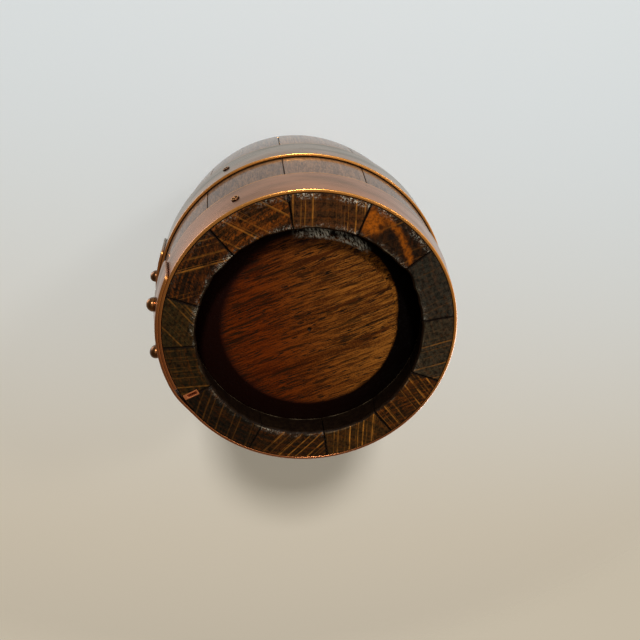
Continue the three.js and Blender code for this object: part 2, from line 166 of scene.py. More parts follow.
# %% Helpers for drawing and spinning
UPRIGHT = (0, 0, 1)
SEAM = 0.001 * MM


def start_piece(name):
    """Starts a piece as a tiny plane, selected in edit mode."""
    bpy.ops.object.select_all(action="DESELECT")
    bpy.ops.mesh.primitive_plane_add(size=MM)
    bpy.context.object.name = name
    bpy.ops.object.mode_set(mode="EDIT")
    bpy.ops.mesh.select_all(action="SELECT")
    return bpy.context.object


def draw_line(name, points):
    """Draws a line by extruding one point along it and leaves it selected in edit mode."""
    piece = start_piece(name)
    bpy.ops.mesh.merge(type="CENTER")
    bpy.ops.transform.translate(value=points[0])
    for here, there in zip(points, points[1:]):
        bpy.ops.mesh.extrude_region_move(TRANSFORM_OT_translate={"value": there - here})
    bpy.ops.mesh.select_all(action="SELECT")
    return piece


def draw_outline(name, points):
    """Draws a closed outline, filled with one face."""
    piece = draw_line(name, points)
    bpy.ops.mesh.edge_face_add()
    return piece


def spin(turn, steps):
    bpy.ops.mesh.spin(steps=steps, angle=-turn, center=(0, 0, 0), axis=UPRIGHT)


def face_outwards():
    """Closes the seams of the piece in edit mode and turns its faces so that its volume is positive."""
    bpy.ops.mesh.select_all(action="SELECT")
    bpy.ops.mesh.remove_doubles(threshold=SEAM)
    bpy.ops.mesh.normals_make_consistent(inside=False)
    bpy.ops.object.mode_set(mode="OBJECT")
    mesh = bpy.context.object.data
    if sum(face.center.dot(face.normal) * face.area for face in mesh.polygons) < 0:
        mesh.flip_normals()


def turned_piece(name, outline, sides):
    """A round piece: a line of (radius, height) points, from the axis and back to it, spun all the way."""
    piece = draw_line(name, [Vector((radius, 0, height)) for radius, height in outline])
    spin(2 * math.pi, sides)
    face_outwards()
    return piece


print("drawing helpers ready")

# %% [markdown]
# A drawn piece is still sharp and bare. Modifiers round its edges and cut into it, and each one is
# applied at once. The last two helpers give a piece its shading, its finish and the place of its solid,
# and copy it to other places.

# %% Helpers for cutting and finishing
SOFT_EDGE = 0.5 * MM


def pick(piece):
    """Selects one piece alone, for the operators that follow."""
    bpy.ops.object.select_all(action="DESELECT")
    piece.select_set(True)
    bpy.context.view_layer.objects.active = piece


def modify(piece, kind, **settings):
    """Adds a modifier to a piece, sets it up and applies it."""
    pick(piece)
    bpy.ops.object.modifier_add(type=kind)
    modifier = piece.modifiers[-1]
    for name, value in settings.items():
        setattr(modifier, name, value)
    bpy.ops.object.modifier_apply(modifier=modifier.name)


def round_edges(piece, width=SOFT_EDGE, segments=2, sharper_than=30):
    """Takes off every edge that is sharper than the angle, as a scraper or a file does."""
    limit = {"limit_method": "ANGLE", "angle_limit": math.radians(sharper_than)}
    modify(piece, "BEVEL", width=width, segments=segments, loop_slide=False, **limit)


def block(size, place):
    """A plain box, for cutting with."""
    bpy.ops.object.select_all(action="DESELECT")
    bpy.ops.mesh.primitive_cube_add(size=1)
    made = bpy.context.object
    made.data.transform(place @ Matrix.Diagonal((*size, 1)))
    return made


def cut(piece, cutter):
    """Takes the cutter's shape out of a piece and throws the cutter away."""
    modify(piece, "BOOLEAN", operation="DIFFERENCE", solver="EXACT", object=cutter)
    bpy.data.objects.remove(cutter)


def settle(piece, node, finish, smooth_below=35):
    """Shades a piece with its broad faces flat, gives it its finish and puts it in its solid's place."""
    pick(piece)
    bpy.ops.object.shade_smooth_by_angle(angle=math.radians(smooth_below))
    modify(piece, "WEIGHTED_NORMAL", keep_sharp=True)
    piece.data.materials.clear()
    piece.data.materials.append(finish)
    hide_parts(node)
    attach(piece, "root")
    return piece


def copy_of(piece, name, place):
    """A copy with its own mesh, moved to its place and left at the origin."""
    twin = piece.copy()
    twin.data = piece.data.copy()
    twin.name = name
    bpy.context.scene.collection.objects.link(twin)
    twin.data.transform(place)
    return twin


print("finishing helpers ready")

# %% [markdown]
# ## Building materials from nodes
#
# A finish is a small network of nodes: textures make masks, masks mix colours, and the result goes into
# one Principled BSDF. Here each output of a node is a wire. A sign between wires adds the Math node that
# works it out, so a mask can be written like a sum, and a new node always joins the network that its
# wires come from.

# %% Wires
class Wire:
    """One output of a node. A sign between a wire and another wire or a number adds a Math node."""

    def __init__(self, socket):
        self.socket = socket

    def __add__(self, other):
        return calc("ADD", self, other)

    def __sub__(self, other):
        return calc("SUBTRACT", self, other)

    def __rsub__(self, other):
        return calc("SUBTRACT", other, self)

    def __mul__(self, other):
        return calc("MULTIPLY", self, other)

    def __truediv__(self, other):
        return calc("DIVIDE", self, other)

    def __abs__(self):
        return calc("ABSOLUTE", self)

    __radd__ = __add__


class Outputs:
    """All outputs of a node, each a wire, by name or by number."""

    def __init__(self, node):
        self.node = node

    def __getitem__(self, key):
        return Wire(self.node.outputs[key])


print("wires ready")

# %% Nodes
def link(wire, socket):
    socket.id_data.links.new(wire.socket, socket)


def add(kind, inputs=(), tree=None, **settings):
    """Adds a node, sets its properties, links or sets its inputs, and gives its outputs."""
    inputs = dict(inputs)
    for value in inputs.values():
        if isinstance(value, Wire):
            tree = value.socket.id_data
    node = tree.nodes.new("ShaderNode" + kind)
    for name, value in settings.items():
        setattr(node, name, value)
    for name, value in inputs.items():
        if isinstance(value, Wire):
            link(value, node.inputs[name])
        else:
            node.inputs[name].default_value = value
    return Outputs(node)


def connect(node, **wires):
    """Links wires to the inputs of a node; an underscore stands for a space in an input's name."""
    for name, wire in wires.items():
        link(wire, node.inputs[name.replace("_", " ")])


print("nodes ready")

# %% [markdown]
# The helpers below name the nodes that are used again and again: soft steps and noise for masks, mixes
# for colours, and vectors that are stretched, turned or measured.

# %% Helpers for masks
FLAT = (1, 1, 0)
ORIGIN = (0, 0, 0)


def calc(operation, first, second=0.0):
    return add("Math", {0: first, 1: second}, operation=operation)[0]


def highest(first, *others):
    for other in others:
        first = calc("MAXIMUM", first, other)
    return first


def ramp(value, low, high):
    """0 below low, 1 above high and a soft step between; with low above high it runs the other way."""
    inputs = {"Value": value, "From Min": low, "From Max": high}
    return add("MapRange", inputs, interpolation_type="SMOOTHSTEP")["Result"]


def mix(share, first, second):
    return add("Mix", {0: share, 6: first, 7: second}, data_type="RGBA")[2]


def noise(vector, scale, detail=2.0, roughness=0.5):
    inputs = {"Vector": vector, "Scale": scale, "Detail": detail, "Roughness": roughness}
    return add("TexNoise", inputs)["Fac"]


def noise_along(line, scale, detail):
    """Noise along a single number, the same all over at one value of it."""
    return add("TexNoise", {"W": line, "Scale": scale, "Detail": detail}, noise_dimensions="1D")["Fac"]


def vector_calc(operation, first, second=ORIGIN, output="Vector"):
    return add("VectorMath", {0: first, 1: second}, operation=operation)[output]


def stretched(vector, factors):
    return vector_calc("MULTIPLY", vector, factors)


def dot(first, second):
    return vector_calc("DOT_PRODUCT", first, second, "Value")


def distance_to(vector, place=ORIGIN):
    """How far a point lies from a place, seen along the axis."""
    away = vector_calc("SUBTRACT", vector, place)
    return vector_calc("LENGTH", stretched(away, FLAT), output="Value")


def rotated(vector, angle):
    return add("VectorRotate", {"Vector": vector, "Angle": angle}, rotation_type="Z_AXIS")["Vector"]


def parts_of(vector):
    parts = add("SeparateXYZ", {0: vector})
    return parts[0], parts[1], parts[2]


def joined(x, y=0.0, z=0.0):
    return add("CombineXYZ", {0: x, 1: y, 2: z})[0]


def bump(height, depth):
    return add("Bump", {"Height": height, "Distance": depth})["Normal"]


print("mask helpers ready")

# %% [markdown]
# What several finishes share, such as the grain of oak or the skin of old copper, is a node group that is
# built once and used with other values. A finish sets its plain values on the shader itself, and links
# only what changes over the surface. Colours are written as they are picked on a screen.

# %% Helpers for groups, finishes and colours
def new_group(name, colours, values, results):
    """A node group that takes a vector, colours and values and gives a colour and some values."""
    group = bpy.data.node_groups.new(name, "ShaderNodeTree")
    sides = {
        "INPUT": {"Vector": ["Vector"], "Color": colours, "Float": values},
        "OUTPUT": {"Color": ["Color"], "Float": results},
    }
    for side, kinds in sides.items():
        for kind, sockets in kinds.items():
            for socket in sockets:
                group.interface.new_socket(socket, in_out=side, socket_type="NodeSocket" + kind)
    return group, Outputs(group.nodes.new("NodeGroupInput")), group.nodes.new("NodeGroupOutput")


def use(group, **values):
    return add("Group", values, node_tree=group)


def new_finish(name, **values):
    """A material with its shader's plain values set; gives the material, its shader and its coordinates."""
    finish = bpy.data.materials.new(name)
    finish.use_nodes = True
    shader = finish.node_tree.nodes["Principled BSDF"]
    for socket, value in values.items():
        shader.inputs[socket.replace("_", " ")].default_value = value
    return finish, shader, add("TexCoord", tree=finish.node_tree)


def colour(red, green, blue):
    """A colour as it is picked on a screen, from 0 to 255, turned into the linear values that nodes use."""
    def linear(value):
        share = value / 255
        return share / 12.92 if share <= 0.04045 else ((share + 0.055) / 1.055) ** 2.4

    return linear(red), linear(green), linear(blue), 1.0


def blend(first, second, share):
    return tuple(a + (b - a) * share for a, b in zip(first, second))


print("finish helpers ready")

# %% [markdown]
# ## Oak along the grain
#
# Split or sawn along the trunk, oak shows long streaks and rows of open pores, which fill with stain and
# look like short dark dashes. Noise that is squeezed across the grain and drawn out along it makes all of
# these: a slow one for the streaks, a fine one for the fibres and a sharp one for the pores, with a few
# dark smudges where the stain has soaked in. The group takes a vector whose Z axis lies along the grain,
# so a piece cut another way only turns its vector.

# %% Node group for oak along the grain
GRAIN_DRIFT = 6 * MM

long_grain, inlet, outlet = new_group(
    "Oak along the grain", ["Dark", "Light", "Pore"], ["Pores", "Smudges", "Wash"], ["Height", "Gap"]
)
wander = noise(stretched(inlet["Vector"], (1, 1, 0.3)), 35)
fibre_vector = vector_calc("ADD", inlet["Vector"], joined(wander * GRAIN_DRIFT))


def drawn_out(share, scale, detail, roughness=0.5):
    """Noise that is drawn out along the grain: the smaller the share, the longer its streaks."""
    return noise(stretched(fibre_vector, (1, 1, share)), scale, detail, roughness)


streaks = drawn_out(0.05, 600, 5, 0.75)
fibres = drawn_out(0.04, 2600, 2)
pore_rows = ramp(drawn_out(0.05, 300, 1), 0.32, 0.56)
gaps = ramp(drawn_out(0.11, 1700, 1), 0.53, 0.64) * pore_rows * inlet["Pores"]
grit = (noise(inlet["Vector"], 1300) - 0.5) * 0.3
smudges = ramp(drawn_out(0.13, 560, 3), 0.55, 0.66) * inlet["Smudges"]
wash = (drawn_out(0.3, 70, 3) - 0.5) * inlet["Wash"]
tone = streaks * 0.8 + fibres * 0.45 + wash + grit
wood = mix(ramp(tone, 0.48, 0.78), inlet["Dark"], inlet["Light"])
wood = mix(highest(gaps, smudges), wood, inlet["Pore"])
connect(outlet, Color=wood, Height=fibres * 0.35 - gaps, Gap=gaps)
print("group", long_grain.name, "nodes", len(long_grain.nodes))

# %% [markdown]
# ## Oak across the grain
#
# The feet of the staves show the end of the wood. Growth rings run across each stave as rows of orange
# flecks, and straight golden rays run through the rings at a right angle. Each stave was split from
# another part of the log, so its rays point another way. A one-dimensional Voronoi texture scatters
# points along a line at random: near each point lies a ray, with a strength of its own. Turning the
# vector first turns the rays.

# %% Node group for oak across the grain
BLACK = (0, 0, 0, 1)
RAY_WOBBLE = 0.9 * MM
RAY_SCATTER = 0.85
RING_CURVE = 8.0

end_grain, inlet, outlet = new_group(
    "Oak across the grain", ["Ground", "Ring", "Ray"], ["Turn", "Seed", "Rays", "Rings"], ["Height"]
)
vector = inlet["Vector"]
turned_vector = rotated(vector, inlet["Turn"])
across, along, _ = parts_of(turned_vector)
line = across + noise(vector, 80, 5, 0.6) * RAY_WOBBLE + inlet["Seed"]


def rays(spacing, thick, thin, weakest, strongest):
    """Straight rays about one spacing apart, each with a strength of its own."""
    inputs = {"W": line, "Scale": 1 / spacing, "Randomness": RAY_SCATTER}
    cells = add("TexVoronoi", inputs, voronoi_dimensions="1D")
    own = add("SeparateColor", {0: cells["Color"]})[0]
    return ramp(cells["Distance"], thick / spacing, thin / spacing) * ramp(own, weakest, strongest)


broad = rays(3.8 * MM, 0.52 * MM, 0.12 * MM, 0.25, 0.85)
narrow = rays(1.9 * MM, 0.24 * MM, 0.05 * MM, 0.4, 1.0) * 0.5
hatching = rays(0.7 * MM, 0.2 * MM, 0.04 * MM, 0.1, 1.0) * 0.1
worn = ramp(noise(vector, 170), 0.36, 0.6) * 0.7 + 0.3
ray_mask = highest(broad, narrow, hatching) * worn * inlet["Rays"]
ring_rows = noise_along(along + across * across * RING_CURVE + inlet["Seed"], 430, 3)
flecks = noise(stretched(turned_vector, (0.55, 1, 1)), 1100, 3, 0.65)
ring_mask = ramp(ring_rows, 0.42, 0.62) * ramp(flecks, 0.42, 0.62) * inlet["Rings"]
holes = add("TexVoronoi", {"Vector": vector, "Scale": 1500.0})["Distance"]
hole_mask = ramp(holes, 0.45, 0.2) * ramp(ring_rows, 0.6, 0.4)
mottle = noise(vector, 520, 5, 0.7)
grime_and_hoop_shade = ramp(mottle + noise_along(along, 1500, 2) * 0.15, 0.68, 0.4)
clouds = ramp(noise(vector, 160, 3), 0.45, 0.7)
ground = mix(clouds * inlet["Rings"] * 0.5, inlet["Ground"], inlet["Ring"])
ground = mix(grime_and_hoop_shade * 0.85, ground, BLACK)
ground = mix(ring_mask, ground, inlet["Ring"])
ground = mix(hole_mask * 0.6, ground, BLACK)
wood = mix(ray_mask, ground, inlet["Ray"])
connect(outlet, Color=wood, Height=ray_mask * 0.5 - hole_mask + mottle)
print("group", end_grain.name, "nodes", len(end_grain.nodes))

# %% [markdown]
# ## The finish of a stave
#
# A stave shows several faces of one piece of wood. Outside it is varnished, inside it is bare, its feet
# are end grain, and below the head the stain has gone nearly black. The direction that a face looks in
# tells which is which, so the masks come from the normal: along the axis at the ends, and towards or away
# from the axis on the sides. Every stave has its own material, because the rays of each run another way
# and each one is a little darker or paler than the next.

# %% Values of the staves
HOOPS = ["chime_hoop", "lower_belly_hoop", "upper_belly_hoop", "rim_hoop"]
# Width of the painted shade under the lower edge of each hoop.
HOOP_SHADE_WIDTH = 1.4 * MM
STAVE_DARK = colour(86, 57, 37)
STAVE_LIGHT = colour(138, 98, 66)
STAVE_PORE = colour(28, 16, 9)
STAVE_SHADE = 0.3
SHADE_STEPS = 7
LOG_STEP = (0.31, 0.17)
SEED_STEP = 0.137
RING_ORANGE = colour(120, 59, 11)
RAY_GOLD = colour(182, 115, 40)
# The near black below serves stain, joints and knots, and also the painted shade under the hoops.
STAIN_AND_SHADE_BLACK = colour(15, 8, 5)
WALL_STAIN = colour(30, 20, 11)
FIBRE_GREY = colour(210, 201, 180)
DUST_BROWN = colour(150, 130, 100)

# The way the rays run in degrees, the ground colour, and the strength of rays, of rings and of the torn
# fibres at the inner and at the outer edge.
STAVE_LOOKS = {
    "spout_stave": (175, colour(64, 38, 17), 1.0, 0.25, 0.6, 0.9),
    "stave_02": (63, colour(35, 21, 10), 0.2, 0.1, 0.4, 0.4),
    "stave_03": (57, colour(45, 41, 32), 0.06, 0.1, 0.25, 0.05),
    "stave_04": (68, colour(52, 45, 32), 0.3, 0.1, 0.1, 0.0),
    "stave_05": (136, colour(38, 23, 8), 0.65, 0.45, 0.0, 0.0),
    "stave_06": (174, colour(52, 34, 12), 0.8, 0.2, 0.0, 0.0),
    "handle_stave": (37, colour(27, 17, 7), 0.55, 0.25, 0.4, 0.0),
    "stave_08": (14, colour(21, 15, 7), 0.12, 0.12, 0.15, 0.0),
    "stave_09": (80, colour(35, 26, 10), 0.25, 0.15, 0.0, 0.0),
    "stave_10": (136, colour(43, 33, 14), 0.35, 0.1, 0.7, 0.0),
    "stave_11": (69, colour(31, 17, 7), 0.5, 0.4, 0.75, 0.05),
    "stave_12": (111, colour(47, 26, 7), 0.35, 0.9, 0.5, 0.25),
}


def stave_span(node):
    """The angles at which a stave starts and ends, read from its solid."""
    middle = node_angle(node)
    turns = []
    for corner in nodes[node].data.vertices:
        turn = math.atan2(corner.co.y, corner.co.x) - middle
        turns.append((turn + math.pi) % (2 * math.pi) - math.pi)
    return middle + min(turns), middle + max(turns)


print("staves to finish", len(STAVE_LOOKS))

# %% [markdown]
# A mask is a small function that takes a few values that the stave has already worked out, such as how
# far a point lies from the axis, and gives back one number between 0 and 1.

# %% Masks of the staves
INNER_EDGE = BASE_RADIUS - CHIME_WALL
CROZE_TOP = 26 * MM
CORNER_HEIGHT = 19 * MM
JOINT_RAGGED = 1.2 * MM
JOINT_WIDER = 0.5 * MM


def outward_share(place):
    """1 where a face looks straight away from the axis, -1 where it looks at it."""
    return dot(vector_calc("NORMALIZE", stretched(place["Object"], FLAT)), place["Normal"])


def endward_share(place):
    """1 where a face looks along the axis, either way."""
    return abs(parts_of(place["Normal"])[2])


def joint_mask(vector, radius, angle, half_span, is_end):
    """A thin ragged line at both joints of a stave, wider at its foot."""
    away = (half_span - abs(angle)) * radius
    away = away + noise(vector, 260, 3) * JOINT_RAGGED - is_end * JOINT_WIDER
    return ramp(away, 0.9 * MM, 0.4 * MM)


def fibre_mask(radius, angle, is_end, inner_share, outer_share):
    """Torn pale fibres in clumps along the inner and the outer edge of the foot."""
    strip = joined(angle * INNER_EDGE, radius * 0.6)
    tufts = ramp(noise(strip, 1500, 4, 0.7), 0.48, 0.66)
    clumps = ramp(noise(strip, 130), 0.36, 0.58)
    inner = ramp(radius, INNER_EDGE + 4.0 * MM, INNER_EDGE + 1.5 * MM) * inner_share
    outer = ramp(radius, BASE_RADIUS - 3.2 * MM, BASE_RADIUS - 1.0 * MM) * outer_share
    return highest(inner, outer) * is_end * tufts * clumps


def pale_edge_line_mask(vector, radius, is_end):
    """A thin pale line along the inner edge of the foot, broken into pieces."""
    line = ramp(abs(radius - (INNER_EDGE + EDGE_CHAMFER)), 0.5 * MM, 0.1 * MM)
    return line * is_end * ramp(noise(vector, 110, 4), 0.46, 0.66)


def corner_dust_mask(vector, height, is_inside):
    """Dust in the corner where the head meets the staves, thick in some places and gone in others."""
    line = ramp(abs(height - CORNER_HEIGHT), 0.9 * MM, 0.3 * MM)
    return line * is_inside * ramp(noise(vector, 120, 4), 0.38, 0.6)


def painted_hoop_shade_mask(height, is_outside):
    """Painted shade: a dark line in the narrow gap under the lower edge of each hoop."""
    lines = [ramp(abs(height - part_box(hoop)[0].z), HOOP_SHADE_WIDTH, 0.5 * HOOP_SHADE_WIDTH) for hoop in HOOPS]
    return highest(*lines) * is_outside


print("masks ready")

# %% [markdown]
# One foot also shows heartwood, an orange patch that fills a growth ring and is brightest at a joint and
# along the ring. Two dark knots lie in it. A function of its own paints it over the end grain.

# %% Heartwood in one foot
HEART_BROWN = colour(54, 29, 9)
HEART_ORANGE = colour(160, 82, 12)
HEART_PLACE = (-60.1 * MM, -20.3 * MM, 0)
HEART_SIZE = 6.6 * MM
HEART_REACH = 17 * MM
HEART_RING_MIDDLE = (-30.9 * MM, -4.9 * MM, 0)
HEART_RING_RADIUS = 38 * MM
HEART_BAND = 2.4 * MM
HEART_UNEVEN = 6 * MM
KNOTS = {(-58.5 * MM, -24.2 * MM, 0): 2.0 * MM, (-54.7 * MM, -29.5 * MM, 0): 2.6 * MM}


def heartwood(vector, wood):
    """Orange heartwood that fills a growth ring, brightest at one joint and along the ring, with knots."""
    uneven = (noise(vector, 260, 5, 0.7) - 0.5) * HEART_UNEVEN
    from_ring = distance_to(vector, HEART_RING_MIDDLE) - HEART_RING_RADIUS + uneven
    from_heart = distance_to(vector, HEART_PLACE) + uneven
    in_ring = ramp(from_ring, 2 * MM, 0)
    filled = in_ring * ramp(from_heart, HEART_REACH, HEART_SIZE)
    past_core = ramp(from_heart, 0.5 * HEART_SIZE, 1.2 * HEART_SIZE)
    band = ramp(abs(from_ring), HEART_BAND, 0) * past_core * 0.8
    core = ramp(from_heart, 1.15 * HEART_SIZE, 0.5 * HEART_SIZE) * in_ring
    mottle = ramp(noise(vector, 500, 5, 0.75), 0.3, 0.65) * 0.8 + 0.2
    wood = mix(filled * mottle * 0.2, wood, HEART_BROWN)
    wood = mix(highest(core, band) * mottle, wood, HEART_ORANGE)
    for place, size in KNOTS.items():
        from_knot = distance_to(vector, place) + uneven * 0.6
        wood = mix(ramp(from_knot, size, 0.2 * size) * 0.85, wood, STAIN_AND_SHADE_BLACK)
    return wood


print("knots in the heartwood", len(KNOTS))

# %% [markdown]
# The material then stacks the layers in the order in which they came to be: the wood, the stain over it,
# the dirt in the joints and last the torn fibres and the dust. Varnish lies only on the outside, and the
# open pores break it.

# %% Finish of one stave
def stave_finish(number, node):
    turn, ground, ray_share, ring_share, inner_torn, outer_torn = STAVE_LOOKS[node]
    start, end = stave_span(node)
    finish, shader, place = new_finish(node + "_oak", Coat_Roughness=0.16, Specular_IOR_Level=0.05)
    vector = place["Object"]
    facing = outward_share(place)
    is_end = ramp(endward_share(place), 0.6, 0.85)
    is_outside, is_inside = ramp(facing, 0.2, 0.6), ramp(facing, -0.2, -0.6)
    height, radius = parts_of(vector)[2], distance_to(vector)
    x, y, _ = parts_of(rotated(vector, -(start + end) / 2))
    angle = calc("ARCTAN2", y, x)

    # Wood along and across the grain, each stave from its own part of the log
    shade = STAVE_SHADE * (number * 5 % SHADE_STEPS) / (SHADE_STEPS - 1)
    log_place = (LOG_STEP[0] * number, LOG_STEP[1] * number, 0)
    side = use(
        long_grain,
        Vector=add("Mapping", {"Vector": vector, "Location": log_place, "Scale": (1, 1, 0.4)})[0],
        Dark=blend(STAVE_DARK, STAVE_PORE, shade),
        Light=blend(STAVE_LIGHT, STAVE_PORE, shade),
        Pore=STAVE_PORE,
        Pores=0.45,
        Smudges=0.08,
        Wash=0.15,
    )
    foot = use(
        end_grain,
        Vector=vector,
        Turn=math.radians(90 - turn),
        Seed=SEED_STEP * number,
        Ground=ground,
        Ring=RING_ORANGE,
        Ray=RAY_GOLD,
        Rays=ray_share,
        Rings=ring_share,
    )
    foot_colour = foot["Color"]
    if node == "stave_02":
        foot_colour = heartwood(vector, foot_colour)

    # Stain, dirt in the joints, painted shade under the hoops, fibres and dust
    low = ramp(height, CROZE_TOP + MM, CROZE_TOP)
    stain = mix(ramp(noise(vector, 300, 4, 0.7), 0.4, 0.65), STAIN_AND_SHADE_BLACK, WALL_STAIN)
    # Painted shade under the hoops: the wood there is darkened and loses its varnish.
    grime_and_hoop_shade = painted_hoop_shade_mask(height, is_outside)
    wood = mix((1.0 - is_outside) * low * 0.98, side["Color"], stain)
    wood = mix(is_end, wood, foot_colour)
    wood = mix(joint_mask(vector, radius, angle, (end - start) / 2, is_end) * 0.9, wood, STAIN_AND_SHADE_BLACK)
    wood = mix(grime_and_hoop_shade * 0.85, wood, STAIN_AND_SHADE_BLACK)
    wood = mix(fibre_mask(radius, angle, is_end, inner_torn, outer_torn), wood, FIBRE_GREY)
    wood = mix(pale_edge_line_mask(vector, radius, is_end) * 0.3, wood, DUST_BROWN)
    wood = mix(corner_dust_mask(vector, height, is_inside) * 0.8, wood, DUST_BROWN)
    relief = mix(is_end, side["Height"], foot["Height"])
    connect(
        shader,
        Base_Color=wood,
        Roughness=0.42 + is_end * 0.2,
        Coat_Weight=is_outside * (0.6 - side["Gap"] * 0.15) * (1.0 - grime_and_hoop_shade),
        Normal=bump(relief, 0.15 * MM),
    )
    return finish


print("finish of the staves ready")

# %% [markdown]
# ## The staves
#
# A stave is a slice of the barrel's wall. Its outline runs up the outside, over the rim, down the inside
# and through the croze, the groove that holds the head. Spun through its own few degrees it becomes a
# solid with radial sides, just as a cooper planes them. A small bevel then breaks its sharp edges, which
# is what makes a joint read as a dark line.

# %% Outline of a stave
HEAD_RECESS = 13 * MM
HEAD_FLAT_RADIUS = 44.5 * MM
HEAD_EDGE = 4.3 * MM
CROZE_HEIGHT = 21.2 * MM
CROZE_DEPTH = 3.2 * MM
RIM_HOOP_DROP = 6 * MM
OUTSIDE_STEPS = 24
INSIDE_STEPS = 20
FLARE_STEPS = 4
FLARE_HEIGHT = RIM_HEIGHT - RIM_HOOP_DROP + FIT_GAP
CROZE_RADIUS = inner_radius(CROZE_HEIGHT) + CROZE_DEPTH
HEAD_BEVEL = (CROZE_HEIGHT - HEAD_RECESS) / (CROZE_RADIUS - FIT_GAP - HEAD_FLAT_RADIUS)


def stave_outline(foot):
    croze_top = CROZE_HEIGHT + HEAD_EDGE + FIT_GAP
    croze_bottom = CROZE_HEIGHT - FIT_GAP
    croze_lip = croze_bottom - HEAD_BEVEL * CROZE_DEPTH
    top = RIM_HEIGHT - EDGE_CHAMFER
    up = spread(foot, FLARE_HEIGHT, OUTSIDE_STEPS)[:-1] + spread(FLARE_HEIGHT, top, FLARE_STEPS)
    down = spread(top, FLARE_HEIGHT, FLARE_STEPS)[:-1]
    down += spread(FLARE_HEIGHT, croze_top + CROZE_DEPTH / 2, INSIDE_STEPS)
    return [
        *[(outer_radius(z), z) for z in up],
        (RIM_RADIUS - EDGE_CHAMFER, RIM_HEIGHT),
        (RIM_RADIUS - RIM_WALL + EDGE_CHAMFER, RIM_HEIGHT),
        *[(inner_radius(z), z) for z in down],
        (CROZE_RADIUS, croze_top),
        (CROZE_RADIUS, croze_bottom),
        (inner_radius(croze_lip), croze_lip - HEAD_BEVEL * FIT_GAP),
        (inner_radius(EDGE_CHAMFER), foot + EDGE_CHAMFER),
        (inner_radius(0) + EDGE_CHAMFER, foot),
    ]


print("points in a stave's outline", len(stave_outline(0)))

# %% [markdown]
# The spout stave is the one that stands taller. Its top is drawn out and up into a lip, and hollowed on
# the inside so that the drink runs together. After the spin its points are moved by how far across the
# stave and how high up they lie, with nothing moved at the joints.

# %% Carve the lip
FULL_TURN = 2 * math.pi
LIP_RISE = 11.9 * MM
LIP_REACH = 10 * MM
LIP_SCOOP = 5.5 * MM
SCOOP_LENGTH = 34 * MM
LIP_SWELL = 1.4


def carve_lip(piece, start, end):
    for corner in piece.data.vertices:
        place = corner.co
        radius, angle = math.hypot(place.x, place.y), math.atan2(place.y, place.x) % FULL_TURN
        lip = math.sin(math.pi * share_between(angle, start, end)) ** LIP_SWELL
        flare = share_between(place.z, FLARE_HEIGHT, RIM_HEIGHT)
        reach = LIP_REACH * flare * flare
        if radius < (inner_radius(place.z) + outer_radius(place.z)) / 2:
            reach += LIP_SCOOP * soft_step(place.z, RIM_HEIGHT - SCOOP_LENGTH, FLARE_HEIGHT)
        corner.co = at_angle(radius + lip * reach, angle, place.z + lip * LIP_RISE * flare)


print("lip above the rim in mm", round(LIP_RISE / MM, 1))

# %% [markdown]
# Three small things make the feet look worked by hand. The inner edge of every foot runs a little in and
# out, as a chisel leaves it. Around one joint it is worn back by up to a millimetre and a half. And two
# staves share a slot in which a folded copper shim sits, because the joint between them was slack.

# %% Fray the feet and cut the slot
FRAY = 0.7 * MM
FRAY_WAVES = 130
FINE_WAVES = 390
FINE_SHARE = 0.4
WORN_ANGLE = math.radians(228)
WORN_DEPTH = 1.5 * MM
WORN_REACH = math.radians(10)
SHIM_STAVES = ("stave_08", "stave_09")
SHIM_ANGLE = stave_span("stave_09")[0]
SHIM_LENGTH = 8 * MM
SHIM_WIDTH = 3 * MM
SHIM_DEPTH = 10 * MM
SHIM_MIDDLE = BASE_RADIUS - FIT_GAP - SHIM_LENGTH / 2
SLOT_PLAY = 0.2 * MM


def worn_back(angle):
    """How far the inner edge is worn back, most at one joint and less and less on both sides of it."""
    return WORN_DEPTH * (1 - soft_step(abs(angle % FULL_TURN - WORN_ANGLE), 0, WORN_REACH))


def fray_foot(piece):
    for corner in piece.data.vertices:
        radius = math.hypot(corner.co.x, corner.co.y)
        if corner.co.z < 2 * EDGE_CHAMFER and radius < INNER_EDGE + 2 * EDGE_CHAMFER:
            wave = wave_at(corner.co * FRAY_WAVES) + FINE_SHARE * wave_at(corner.co * FINE_WAVES)
            back = FRAY * wave + worn_back(math.atan2(corner.co.y, corner.co.x))
            corner.co.xy *= 1 + back / radius


def cut_shim_slot(piece):
    size = (SHIM_LENGTH + SLOT_PLAY, SHIM_WIDTH + SLOT_PLAY, 2 * SHIM_DEPTH + SLOT_PLAY)
    cut(piece, block(size, Matrix.Rotation(SHIM_ANGLE, 4, "Z") @ Matrix.Translation((SHIM_MIDDLE, 0, 0))))


print("slot at degrees", round(math.degrees(SHIM_ANGLE)))

# %% Make the twelve staves
STAVE_STEP = math.radians(1.25)
FOOT_STEPS = 5
FOOT_UNEVEN = 0.3 * MM

for number, node in enumerate(STAVE_LOOKS):
    start, end = stave_span(node)
    foot = FOOT_UNEVEN * (number * 3 % FOOT_STEPS) / FOOT_STEPS
    outline = [at_angle(radius, start, z) for radius, z in stave_outline(foot)]
    piece = draw_outline(node + "_wood", outline)
    spin(end - start, round((end - start) / STAVE_STEP))
    face_outwards()
    fray_foot(piece)
    if node == "spout_stave":
        carve_lip(piece, start % FULL_TURN, end % FULL_TURN)
    round_edges(piece)
    if node in SHIM_STAVES:
        cut_shim_slot(piece)
    settle(piece, node, stave_finish(number, node))
print("staves made", len(STAVE_LOOKS))
